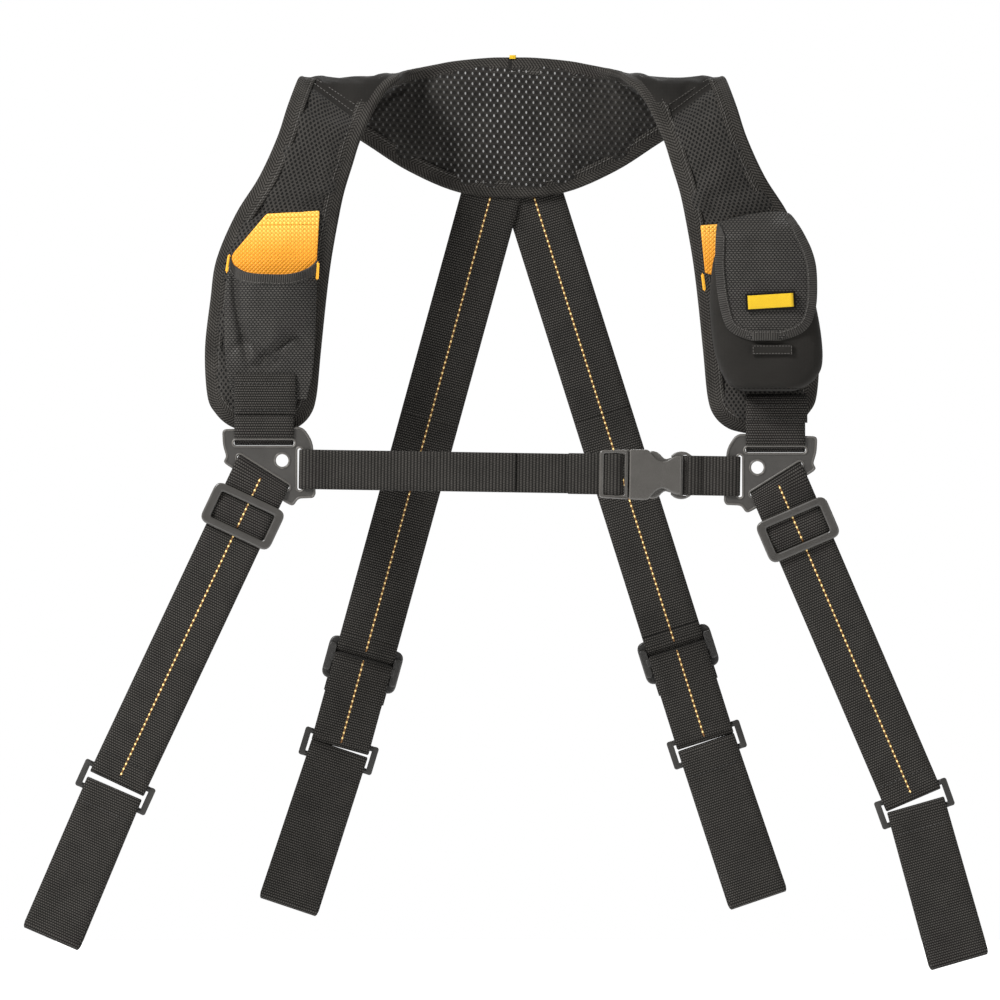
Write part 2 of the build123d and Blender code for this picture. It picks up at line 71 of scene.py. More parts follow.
CAD_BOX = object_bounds()
MM = 0.001
WEB_W, WEB_T = 38.0, 1.6
CHEST_W = 25.4
STRAPS = ("front_left", "front_right", "rear_left", "rear_right")
FACE_LIFT = 0.85            # from the middle of the webbing to just above its face
SWELL_CAP, CLOTH_FRAMES = 2.5, 20
# each seam's stitches: pitch, length, width and height
SEAMS = {"strap_end": (3.0, 2.0, 0.7, 0.3), "belt_loop": (2.6, 1.9, 0.7, 0.3), "chest": (2.4, 1.8, 0.6, 0.3),
         "anchor": (2.6, 1.9, 0.6, 0.3), "backing": (2.6, 1.9, 0.5, 0.3), "shoulder": (2.8, 2.0, 0.55, 0.3),
         "binding": (3.0, 2.1, 0.6, 0.35), "channel": (3.0, 2.2, 0.8, 0.35), "pouch": (2.8, 2.0, 0.6, 0.35),
         "tab": (2.0, 1.5, 0.45, 0.25), "tape": (2.6, 1.8, 0.5, 0.3), "gold_line": (3.5, 1.6, 1.25, 0.6),
         "bartack": (0.62, 2.6, 0.75, 0.5)}
FRONT, RIGHT = Vector((0, -1, 0)), Vector((1, 0, 0))


# ---- the frame in millimetres ----

def low_high(node):
    low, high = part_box(node)
    return low / MM, high / MM


def centre(node):
    low, high = low_high(node)
    return (low + high) / 2


def joint_at(name):
    found = next(j for j in frame["joints"] if j["name"] == name)
    return Vector(found["pos_m"]) / MM


# ---- shader building ----

class Look:
    """A material with a Principled shader and short names for the maths nodes around it."""

    def __init__(self, name, rough, specular=0.25, sheen=0.0, coat=0.0):
        self.mat = bpy.data.materials.new(name)
        self.mat.use_nodes = True
        self.tree = self.mat.node_tree
        self.shader = self.tree.nodes["Principled BSDF"]
        self.shader.inputs["Roughness"].default_value = rough
        self.shader.inputs["Specular IOR Level"].default_value = specular
        self.shader.inputs["Sheen Weight"].default_value = sheen
        self.shader.inputs["Sheen Roughness"].default_value = 0.5
        self.shader.inputs["Coat Weight"].default_value = coat
        self.shader.inputs["Coat Roughness"].default_value = 0.3

    def node(self, kind, **settings):
        made = self.tree.nodes.new(kind)
        for key, value in settings.items():
            setattr(made, key, value)
        return made

    def feed(self, value, socket):
        if isinstance(value, (int, float)):
            socket.default_value = value
        else:
            self.tree.links.new(value, socket)

    def math(self, operation, *values):
        made = self.node("ShaderNodeMath", operation=operation)
        for value, socket in zip(values, made.inputs):
            self.feed(value, socket)
        return made.outputs[0]

    def mul(self, first, second):
        return self.math("MULTIPLY", first, second)

    def add(self, first, second):
        return self.math("ADD", first, second)

    def sub(self, first, second):
        return self.math("SUBTRACT", first, second)

    def fit(self, value, gain, offset):
        return self.add(self.mul(value, gain), offset)

    def smooth(self, value, low, high):
        made = self.node("ShaderNodeMapRange", interpolation_type="SMOOTHSTEP")
        self.feed(value, made.inputs["Value"])
        self.feed(low, made.inputs["From Min"])
        self.feed(high, made.inputs["From Max"])
        return made.outputs["Result"]

    def plane(self, source="UV"):
        """The two coordinates of the cloth in metres: its own UV, or the object's X and Z."""
        coordinates = self.node("ShaderNodeTexCoord")
        split = self.node("ShaderNodeSeparateXYZ")
        self.tree.links.new(coordinates.outputs[source], split.inputs[0])
        return split.outputs["X"], split.outputs["Y" if source == "UV" else "Z"]

    def noise(self, scale, detail=3.0):
        coordinates = self.node("ShaderNodeTexCoord")
        made = self.node("ShaderNodeTexNoise")
        made.inputs["Scale"].default_value = scale
        made.inputs["Detail"].default_value = detail
        self.tree.links.new(coordinates.outputs["Object"], made.inputs["Vector"])
        return made.outputs["Fac"]

    def wave(self, value, pitch):
        """1 at the middle of each period of the given length in metres, 0 at its ends."""
        return self.math("ABSOLUTE", self.math("SINE", self.mul(value, math.pi / pitch)))

    def cells(self, u, v, pitch_u, pitch_v, half_u, half_v):
        """1 inside ovals on a staggered grid, 0 between them."""
        row = self.math("DIVIDE", v, pitch_v)
        odd = self.mul(self.math("FLOORED_MODULO", self.math("FLOOR", row), 2.0), 0.5)
        column = self.add(self.math("DIVIDE", u, pitch_u), odd)
        du = self.mul(self.sub(self.math("FRACT", column), 0.5), pitch_u / half_u)
        dv = self.mul(self.sub(self.math("FRACT", row), 0.5), pitch_v / half_v)
        reach = self.math("SQRT", self.add(self.mul(du, du), self.mul(dv, dv)))
        return self.smooth(reach, 1.15, 0.75)

    def mix(self, share, first, second):
        made = self.node("ShaderNodeMix", data_type="RGBA")
        self.feed(share, made.inputs["Factor"])
        for value, socket in ((first, made.inputs["A"]), (second, made.inputs["B"])):
            if isinstance(value, tuple):
                socket.default_value = (*value, 1.0)
            else:
                self.tree.links.new(value, socket)
        return made.outputs["Result"]

    def colour(self, value):
        self.tree.links.new(value, self.shader.inputs["Base Color"])

    def rough(self, share, low, high):
        made = self.node("ShaderNodeMapRange")
        self.feed(share, made.inputs["Value"])
        made.inputs["To Min"].default_value = low
        made.inputs["To Max"].default_value = high
        self.tree.links.new(made.outputs["Result"], self.shader.inputs["Roughness"])

    def bump(self, height, distance, strength=1.0):
        made = self.node("ShaderNodeBump")
        made.inputs["Strength"].default_value = strength
        made.inputs["Distance"].default_value = distance
        self.tree.links.new(height, made.inputs["Height"])
        self.tree.links.new(made.outputs["Normal"], self.shader.inputs["Normal"])


def grey(level, warm=1.0):
    """A dark warm grey by its linear level."""
    return (level * 1.08 * warm, level, level * 0.9 / warm)


def webbing_look(name, rib, dark, light, column=0.00155):
    """Woven webbing: ribs across its width, broken into staggered floats."""
    look = Look(name, 0.75, 0.12, sheen=0.02)
    along, across = look.plane()
    ribs = look.wave(along, rib)
    floats = look.cells(across, along, column, rib, column * 0.36, rib * 0.42)
    weave = look.mul(ribs, look.fit(floats, 0.75, 0.25))
    blotch = look.noise(60.0)
    tone = look.mul(weave, look.fit(blotch, 0.8, 0.6))
    look.colour(look.mix(tone, dark, light))
    look.rough(weave, 0.9, 0.6)
    look.bump(weave, 0.0005, 0.9)
    return look.mat


def plain_look(name, dark, light):
    """Smooth knitted fabric with a very fine grain."""
    look = Look(name, 0.85, 0.08, sheen=0.03)
    along, across = look.plane("Object")
    grain = look.mul(look.wave(along, 0.0009), look.wave(across, 0.0009))
    cloud = look.noise(45.0, 4.0)
    tone = look.add(look.mul(grain, 0.25), look.mul(cloud, 0.75))
    look.colour(look.mix(tone, dark, light))
    look.bump(look.add(grain, look.mul(cloud, 2.0)), 0.0002, 0.6)
    return look.mat


def ballistic_look(name, dark, light, pitch=0.0023, shine=0.25):
    """Coarse weave: bright staggered yarn tops over dark gaps."""
    look = Look(name, 0.7, shine, sheen=0.03)
    along, across = look.plane("Object")
    yarns = look.cells(along, across, pitch, pitch * 0.62, pitch * 0.40, pitch * 0.24)
    cloud = look.noise(70.0, 4.0)
    tone = look.mul(yarns, look.fit(cloud, 0.9, 0.45))
    look.colour(look.mix(tone, dark, light))
    look.rough(yarns, 0.85, 0.5)
    look.bump(yarns, 0.0005, 0.9)
    return look.mat


def spacer_look():
    """Padded mesh with small dark oval holes."""
    look = Look("spacer_mesh", 0.85, 0.15, sheen=0.05)
    along, across = look.plane()
    holes = look.cells(across, along, 0.0030, 0.0021, 0.00078, 0.00094)
    grain = look.mul(look.wave(along, 0.0007), look.wave(across, 0.0006))
    cloud = look.noise(50.0)
    threads = look.mix(look.mul(look.add(grain, cloud), 0.5), grey(0.017), grey(0.052))
    look.colour(look.mix(holes, threads, grey(0.0035)))
    look.bump(look.add(look.mul(holes, -1.0), look.mul(grain, 0.25)), 0.0008, 0.9)
    return look.mat


def dotted_look():
    """The wearer's side of the back panel: dark mesh with small pale dashes, paler in the middle."""
    look = Look("dotted_mesh", 0.9, 0.12, sheen=0.05)
    x, z = look.plane("Object")
    tilt = look.add(z, look.mul(x, 0.06))
    dashes = look.cells(x, tilt, 0.0046, 0.0033, 0.00055, 0.00095)
    holes = look.cells(look.add(x, 0.0023), tilt, 0.0046, 0.0033, 0.0013, 0.0012)
    distance = look.math("ABSOLUTE", x)
    middle = look.smooth(distance, 0.060, 0.015)
    # the dashes' brightness varies at random and fades from the middle of the panel towards its sides
    dash_strength = look.mul(look.noise(220.0, 2.0), look.fit(middle, 0.9, 0.28))
    base = look.mix(look.noise(60.0), grey(0.010), grey(0.026))
    base = look.mix(look.mul(holes, 0.6), base, grey(0.004))
    look.colour(look.mix(look.mul(dashes, dash_strength), base, (0.36, 0.36, 0.36)))
    look.bump(look.sub(dashes, holes), 0.0006, 0.7)
    return look.mat


def binding_look():
    """Twill tape: fine diagonal ribs that meet along its middle."""
    look = Look("binding_tape", 0.8, 0.08, sheen=0.02)
    along, across = look.plane()
    slant = look.math("ABSOLUTE", look.sub(across, 0.005))
    diagonal = look.add(along, look.mul(slant, 0.8))
    ribs = look.wave(diagonal, 0.0021)
    steps = look.wave(across, 0.0015)
    weave = look.mul(ribs, look.fit(steps, 0.5, 0.5))
    tone = look.mul(weave, look.add(look.noise(60.0), 0.45))
    look.colour(look.mix(tone, grey(0.002), grey(0.055)))
    look.bump(weave, 0.0005, 0.9)
    return look.mat


def grosgrain_look():
    """Ribbed tape around the pockets' edges, ribs across its width."""
    look = Look("grosgrain", 0.75, 0.2, sheen=0.05)
    along = look.plane()[0]
    ribs = look.wave(along, 0.0014)
    tone = look.mul(ribs, look.add(look.noise(80.0), 0.4))
    look.colour(look.mix(tone, grey(0.003), grey(0.046)))
    look.bump(ribs, 0.0005, 0.9)
    return look.mat


def plastic_look(name, rough, level, coat=0.0):
    """Moulded plastic with a fine grain, and a painted highlight that makes its sharp edges slightly paler."""
    look = Look(name, rough, 0.45, coat=coat)
    cloud = look.noise(90.0, 5.0)
    fine = look.noise(900.0, 2.0)
    geometry = look.node("ShaderNodeNewGeometry")
    # painted highlight: where the surface is sharp (high pointiness) the colour turns towards a paler grey
    edge_highlight = look.smooth(geometry.outputs["Pointiness"], 0.51, 0.58)
    base = look.mix(cloud, grey(level * 0.8, 0.99), grey(level * 1.25, 0.99))
    look.colour(look.mix(look.mul(edge_highlight, 0.6), base, grey(level * 2.4, 0.99)))
    look.rough(look.add(look.mul(cloud, 0.6), look.mul(fine, 0.4)), rough - 0.08,
               rough + 0.1)
    look.bump(fine, 0.00012, 0.5)
    return look.mat


def thread_look(name, colour, deep):
    look = Look(name, 0.5, 0.4, sheen=0.1)
    twist = look.noise(2500.0, 1.0)
    look.colour(look.mix(twist, deep, colour))
    look.bump(twist, 0.0002, 0.5)
    return look.mat


def yellow_look():
    """The bright coated weave behind the pockets: yellow at the top, and a darker orange towards the bottom that is
    painted shade below the pocket mouths.
    """
    look = Look("yellow_fabric", 0.55, 0.3)
    x, z = look.plane("Object")
    pitch = 0.0026
    u = look.math("DIVIDE", look.add(x, z), pitch)
    v = look.math("DIVIDE", look.sub(x, z), pitch)
    parity = look.math("FLOORED_MODULO", look.add(look.math("FLOOR", u), look.math("FLOOR", v)), 2.0)
    weave = look.mul(look.wave(look.add(x, z), pitch),
                      look.wave(look.sub(x, z), pitch))
    # painted shade: below the pocket mouths the weave turns a darker orange
    height = look.smooth(z, -0.108, -0.080)
    base = look.mix(height, (0.85, 0.34, 0.02), (0.95, 0.66, 0.13))
    tone = look.add(look.mul(weave, 0.7), look.mul(parity, 0.3))
    look.colour(look.mix(tone, (0.60, 0.22, 0.008), base))
    look.bump(weave, 0.0004, 0.7)
    return look.mat


MATS = {
    "spacer": spacer_look(),
    "plain": plain_look("plain_fabric", grey(0.006), grey(0.020)),
    "smooth": plain_look("pouch_fabric", grey(0.010), grey(0.022)),
    "ballistic": ballistic_look("ballistic_fabric", grey(0.006), grey(0.052)),
    "dotted": dotted_look(),
    "binding": binding_look(),
    "grosgrain": grosgrain_look(),
    "webbing": webbing_look("webbing", 0.0016, grey(0.002), grey(0.052)),
    "chest": webbing_look("chest_webbing", 0.0021, grey(0.006), grey(0.050), 0.0011),
    "plate": plastic_look("plate_plastic", 0.5, 0.032),
    # the rims' paler plastic is a painted highlight along the plates' edges
    "rim": plastic_look("painted_highlight_rim", 0.35, 0.070),
    "buckle": plastic_look("buckle_plastic", 0.33, 0.052, coat=0.3),
    "adjuster": plastic_look("adjuster_plastic", 0.33, 0.034, coat=0.25),
    "rail": plastic_look("dark_plastic", 0.42, 0.014),
    # very dark fabric: the flap label's border, and the painted shade of the back channel's groove
    "shade": plain_look("label_border_and_groove_shade", grey(0.003), grey(0.009)),
    "yellow": yellow_look(),
    "label": ballistic_look("label_yellow", (0.75, 0.44, 0.010), (0.95, 0.66, 0.02), 0.0007, 0.3),
    "thread": thread_look("grey_thread", grey(0.085), grey(0.03)),
    "gold": thread_look("gold_thread", (0.95, 0.80, 0.42), (0.90, 0.55, 0.12)),
    "amber": thread_look("amber_thread", (0.20, 0.085, 0.010), (0.09, 0.035, 0.005)),
    "orange": thread_look("orange_thread", (0.95, 0.50, 0.03), (0.75, 0.30, 0.015)),
}


# ---- mesh building ----

def build(name, points, faces, look, uvs=None):
    """A smooth-shaded mesh from points in millimetres; uvs are one pair per point, in metres."""
    mesh = bpy.data.meshes.new(name)
    mesh.from_pydata([Vector(p) * MM for p in points], [], faces)
    if uvs:
        layer = mesh.uv_layers.new(name="UVMap")
        for loop in mesh.loops:
            layer.data[loop.index].uv = uvs[loop.vertex_index]
    for polygon in mesh.polygons:
        polygon.use_smooth = True
    mesh.materials.append(MATS[look])
    obj = bpy.data.objects.new(name, mesh)
    bpy.context.scene.collection.objects.link(obj)
    return obj


def spline(points, step=2.0, closed=False):
    """Evenly fine points along a smooth curve through the given ones."""
    points = [Vector(p) for p in points]
    count = len(points)
    made = []
    spans = count if closed else count - 1
    for i in range(spans):
        if closed:
            a, b, c, d = (points[(i + k) % count] for k in (-1, 0, 1, 2))
        else:
            b, c = points[i], points[i + 1]
            a = points[i - 1] if i else b * 2 - c
            d = points[i + 2] if i + 2 < count else c * 2 - b
        pieces = max(1, round((c - b).length / step))
        for k in range(pieces):
            t = k / pieces
            made.append(0.5 * (2 * b + (c - a) * t + (2 * a - 5 * b + 4 * c - d) * t * t
                               + (3 * b - 3 * c + d - a) * t * t * t))
    if not closed:
        made.append(points[-1].copy())
    return made


def sweep(name, path, across, section, look, closed=False, start=0.0):
    """Sweeps a closed section of (across, out) points along a path. across is one vector, or one per path point.
    The section's second value runs along tangent x across."""
    count, size = len(path), len(section)
    across = across if isinstance(across, list) else [Vector(across)] * count
    points, uvs, run = [], [], start
    for i, here in enumerate(path):
        after = path[(i + 1) % count] if closed or i + 1 < count else here
        before = path[i - 1] if closed or i else here
        tangent = (after - before).normalized()
        side = across[i].normalized()
        out = tangent.cross(side).normalized()
        if i:
            run += (here - path[i - 1]).length
        for a, n in section:
            points.append(here + side * a + out * n)
            uvs.append((run * MM, a * MM))
    faces = []
    for i in range(count if closed else count - 1):
        j = (i + 1) % count
        for k in range(size):
            m = (k + 1) % size
            faces.append((i * size + k, j * size + k, j * size + m, i * size + m))
    if not closed:
        faces.append(tuple(range(size)))
        faces.append(tuple((count - 1) * size + k for k in reversed(range(size))))
    return build(name, points, faces, look, uvs)


def web_section(width, thick):
    """A flat section with soft edges."""
    half, edge, steps = width / 2, thick * 0.35, 8
    top = [(-half + edge + (width - 2 * edge) * k / steps, thick / 2) for k in range(steps + 1)]
    return top + [(half, 0)] + [(a, -n) for a, n in reversed(top)] + [(-half, 0)]


def rounded_section(width, thick, radius):
    """A rounded rectangle."""
    made, steps = [], 3
    for cx, cy, turn in ((1, 1, 0), (-1, 1, 1), (-1, -1, 2), (1, -1, 3)):
        for k in range(steps + 1):
            angle = (turn + k / steps) * math.pi / 2
            made.append((cx * (width / 2 - radius) + radius * math.cos(angle),
                         cy * (thick / 2 - radius) + radius * math.sin(angle)))
    return made


def stitches(name, path, out, look, pitch, length, width, height):
    """Separate stitches along a path; out is the vector that leaves the cloth, or one for each path point."""
    ring = 6
    rows = ((-0.5, 0.25), (-0.36, 0.85), (0.0, 1.0), (0.36, 0.85), (0.5, 0.25))
    points, faces, travelled, next_at = [], [], 0.0, pitch / 2
    for i, (here, after) in enumerate(zip(path, path[1:])):
        span = (after - here).length
        while span > 1e-9 and travelled + span >= next_at:
            tangent = (after - here).normalized()
            middle = here + tangent * (next_at - travelled)
            away = (out[i % len(out)] if isinstance(out, list) else Vector(out)).normalized()
            side = tangent.cross(away).normalized()
            first = len(points)
            for along, scale in rows:
                for k in range(ring):
                    angle = 2 * math.pi * k / ring
                    points.append(middle + tangent * along * length + side * math.cos(angle) * width / 2 * scale
                                  + away * math.sin(angle) * height * scale)
            for row in range(len(rows) - 1):
                for k in range(ring):
                    a, b = first + row * ring + k, first + row * ring + (k + 1) % ring
                    faces.append((a, b, b + ring, a + ring))
            faces.append(tuple(first + k for k in reversed(range(ring))))
            faces.append(tuple(first + (len(rows) - 1) * ring + k for k in range(ring)))
            next_at += pitch
        travelled += span
    return build(name, points, faces, look)


def rounded(points, radius, steps=4):
    """A closed outline with its corners rounded; a point may carry its own radius as a third value."""
    made, count = [], len(points)
    for i in range(count):
        here = Vector(points[i][:2])
        before, after = Vector(points[i - 1][:2]) - here, Vector(points[(i + 1) % count][:2]) - here
        own = points[i][2] if len(points[i]) > 2 else radius
        cut = min(own, before.length * 0.45, after.length * 0.45)
        a, b = here + before.normalized() * cut, here + after.normalized() * cut
        for k in range(steps + 1):
            t = k / steps
            made.append(a * (1 - t) ** 2 + here * 2 * t * (1 - t) + b * t * t)
    return made


def stadium(cx, cy, length, width, turn=0.0):
    """A slot's outline."""
    made, steps = [], 8
    for end in (1, -1):
        for k in range(steps + 1):
            angle = -math.pi / 2 + math.pi * k / steps + (0 if end > 0 else math.pi)
            made.append(Vector((end * (length - width) / 2 + width / 2 * math.cos(angle), width / 2 * math.sin(angle))))
    spin = Matrix.Rotation(turn, 2)
    return [spin @ point + Vector((cx, cy)) for point in made]


def rectangle(x0, z0, x1, z1):
    return [(x0, z0), (x1, z0), (x1, z1), (x0, z1)]


def grid_faces(columns, rows, turned=False):
    """Quads over a grid of points that is listed row by row."""
    across = columns + 1
    corners = (0, 1, across + 1, across) if turned else (0, across, across + 1, 1)
    return [tuple(i * across + j + k for k in corners) for i in range(rows) for j in range(columns)]


def shell_faces(columns, rows, turned=False):
    """Quads over two such grids back to back, and over the rim between them."""
    across, size = columns + 1, (columns + 1) * (rows + 1)
    front = grid_faces(columns, rows, turned)
    rim = ([(i * across, (i + 1) * across) for i in range(rows)]
           + [(rows * across + j, rows * across + j + 1) for j in range(columns)]
           + [((i + 1) * across + columns, i * across + columns) for i in reversed(range(rows))]
           + [(j + 1, j) for j in reversed(range(columns))])
    return (front + [tuple(size + v for v in reversed(face)) for face in front]
            + [(b, a, a + size, b + size) for a, b in rim])


def lifted(path, lift=FACE_LIFT):
    """The path moved forward, onto the face of its webbing."""
    return [point + FRONT * lift for point in path]


def web(name, path, across, extra=0.0, look="webbing", width=WEB_W, start=0.0, closed=False):
    """A length of flat webbing along a path."""
    return sweep(name, path, across, web_section(width + extra, WEB_T), look, closed, start)


def moulded_mesh(outlines, thick, bevel, origin, along, up):
    """A flat plate with rounded edges and holes: the first outline is its edge and the others are holes.
    Outlines are (along, up) in millimetres from the origin, which lies in the middle of its thickness."""
    curve = bpy.data.curves.new("outline", "CURVE")
    curve.dimensions, curve.fill_mode = "2D", "BOTH"
    curve.extrude = max(thick / 2 - bevel, 0.0) * MM
    curve.bevel_depth, curve.bevel_resolution, curve.offset = bevel * MM, 2, -bevel * MM
    for outline in outlines:
        line = curve.splines.new("POLY")
        line.points.add(len(outline) - 1)
        for point, place in zip(line.points, outline):
            point.co = (place[0] * MM, place[1] * MM, 0, 1)
        line.use_cyclic_u = True
    holder = bpy.data.objects.new("outline", curve)
    bpy.context.scene.collection.objects.link(holder)
    mesh = bpy.data.meshes.new_from_object(holder.evaluated_get(bpy.context.evaluated_depsgraph_get()))
    bpy.data.objects.remove(holder)
    bpy.data.curves.remove(curve)
    origin, along, up = Vector(origin) * MM, Vector(along).normalized(), Vector(up).normalized()
    front = along.cross(up)
    for vertex in mesh.vertices:
        vertex.co = origin + along * vertex.co.x + up * vertex.co.y + front * vertex.co.z
    return mesh


def moulded(name, parts, look):
    """One piece from several moulded meshes, smooth over its rounded edges and flat on its faces."""
    points, faces = [], []
    for mesh in parts:
        first = len(points)
        points += [v.co / MM for v in mesh.vertices]
        faces += [tuple(first + v for v in polygon.vertices) for polygon in mesh.polygons]
    obj = build(name, points, faces, look)
    weld = obj.modifiers.new("Weld", "WELD")
    weld.merge_threshold = 0.00001
    normals = obj.modifiers.new("Normals", "WEIGHTED_NORMAL")
    normals.keep_sharp = True
    return obj


def finish_piece(obj, body, slot, *nodes):
    """The piece rides on a body and stands for some CAD nodes, which are hidden; slot is not used."""
    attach(obj, body)
    if nodes:
        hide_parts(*nodes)
    return obj


def bent(obj, slot, bodies, start, end, *nodes):
    """For a piece that reaches from one body to another: hides the CAD nodes it stands for and bakes its placement into
    its mesh. It rides on no body and does not bend; slot, start and end are not used, and bodies has no effect.
    """
    if nodes:
        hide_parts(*nodes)
    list(bodies)
    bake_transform(obj)
    return obj


def sew(name, path, out, look, body, slot, seam):
    """Stitches that ride on a body."""
    return finish_piece(stitches(name, path, out, look, *SEAMS[seam]), body, slot)


# ---- straps ----

class Line:
    """A straight run in a plane of constant y: distances run along it from its origin."""

    def __init__(self, origin, along):
        self.origin = Vector(origin)
        self.along = Vector((along[0], 0, along[2])).normalized()
        self.across = Vector((-self.along.z, 0, self.along.x))

    def at(self, distance, depth=0.0, aside=0.0):
        return self.origin + self.along * distance + self.across * aside + Vector((0, depth, 0))

    def distance(self, point):
        return (Vector(point) - self.origin).dot(self.along)

    def path(self, points, step=2.0):
        """A smooth path through (distance, depth) points."""
        return spline([self.at(*point) for point in points], step)

    def row(self, distance, depth, half=16):
        """A line straight across the strap."""
        return [self.at(distance, depth, aside) for aside in range(-half, half + 1, 2)]


BAR_TURN = 3.0              # from a ring's bar to the middle of the webbing around it
BAR_SLACK = 1.5
ADJUSTER_HALF = 13.5
SLOT_UP = 12.6              # from a front strap's hinge up to its slot
SLOT_TILT = math.radians(32.0)
SPLIT_BELOW = 9.5           # from a front adjuster down to the joint between its strap's two pieces
BACK_UP = 12.0              # how far the webbing runs back up from a ring


def around(line, at, side, back_to):
    """Points of webbing that comes down to a ring's bar, goes round it and runs back up to a distance."""
    middle = at + BAR_SLACK
    points = []
    for k in range(9):
        angle = math.pi * k / 8
        points.append(line.at(middle + BAR_TURN * math.sin(angle), side * BAR_TURN * (1 - math.cos(angle))))
    run = [line.at(back_to + (middle - back_to) * (1 - k / 12), side * 2 * BAR_TURN) for k in range(1, 13)]
    return points + run


def sway(path, size, seed):
    """Small waves in the depth of a webbing's path, none at its ends."""
    count = len(path)
    for i, point in enumerate(path):
        fade = math.sin(math.pi * i / (count - 1)) * ease((i / count - 0.38) / 0.15)
        point.y += size * fade * noise.noise(Vector((seed, point.z * 0.02, point.x * 0.02)))
    return path


def gold_line(name, path, bodies, start, end):
    """The bright stitched line down the middle of a strap, on the path of its face."""
    cord = sweep(name + "_cord", path, RIGHT, rounded_section(1.1, 0.3, 0.14), "amber")
    dots = stitches(name + "_stitches", path, FRONT, "gold", *SEAMS["gold_line"])
    for piece in (cord, dots):
        bent(piece, "webbing", bodies, start, end)


def front_strap(side):
    """A front strap: through the plate's slot, down to the adjuster, on to the ring and back up a little."""
    name = f"front_{side}"
    plate, strap, end = f"{side}_plate", f"{name}_strap", f"{name}_end"
    hinge, ring = joint_at(f"{name}_swing"), joint_at(f"{name}_ring_turn")
    line = Line(hinge, ring - hinge)
    adjuster, bar = line.distance(centre(f"{name}_adjuster")), line.distance(ring)
    tilt = -SLOT_TILT if side == "left" else SLOT_TILT
    slot_across = Vector((math.cos(tilt), 0, math.sin(tilt)))
    split = adjuster + SPLIT_BELOW

    behind = [(7, 3.6), (1, 3.1), (-5, 2.9), (-SLOT_UP + 3, 2.8)]
    over = [(-SLOT_UP - 1.8, 2.6), (-SLOT_UP - 1.6, 0.8), (-SLOT_UP - 0.9, -0.6), (-SLOT_UP + 0.4, -2.2),
            (-SLOT_UP + 4, -2.8), (-3, -2.6), (3, -1.6)]
    through = [(adjuster - ADJUSTER_HALF, -0.1), (adjuster - 7, -0.5), (adjuster, -1.3), (adjuster + 5.5, -0.7),
               (split, 0.0)]
    path = line.path(behind + over + through, 1.6)
    # level with the plate's tilted slot at first, then square to the strap
    across = [slot_across.lerp(line.across, min(1, max(0, (line.distance(p) + SLOT_UP) / 11))) for p in path]
    hinged = (plate, strap), line.at(-2), line.at(3)
    bent(web(f"{name}_webbing_top", path, across), "webbing", *hinged, f"strap_loop_{side}")
    in_front = [p for p in path if p.y < line.origin.y and line.distance(p) > -SLOT_UP + 2.5]
    gold_line(f"{name}_top", lifted(in_front), *hinged)

    fold_path = line.path([(4, 4.6), (9, 4.9), (adjuster - 6, 4.9), (adjuster - 1, 4.6), (adjuster + 3, 3.6),
                           (adjuster + 3.6, 2.2)])
    bent(web(f"{name}_webbing_fold", fold_path, line.across, -0.6), "webbing", (strap, f"{name}_adjuster"),
         line.at(6), line.at(adjuster - 5), f"{name}_strap_fold")

    run = sway([line.at(split - 0.5 + (bar - split) * k / 60) for k in range(61)], 1.8, 3.0 if side == "left" else 8.0)
    low = web(f"{name}_webbing_low", run + around(line, bar, 1, bar - BACK_UP)[1:], line.across, start=split)
    reach = (strap, end), line.at(split + 4), line.at(bar - 15)
    bent(low, "webbing", *reach, f"{name}_strap", f"{name}_strap_slack", f"{name}_strap_end")
    gold_line(f"{name}_low", lifted([p for p in run if line.distance(p) < bar + 1]), *reach)
    sew(f"{name}_end_stitches", line.row(bar - 10.5, -0.9), FRONT, "rail", end, "webbing", "strap_end")


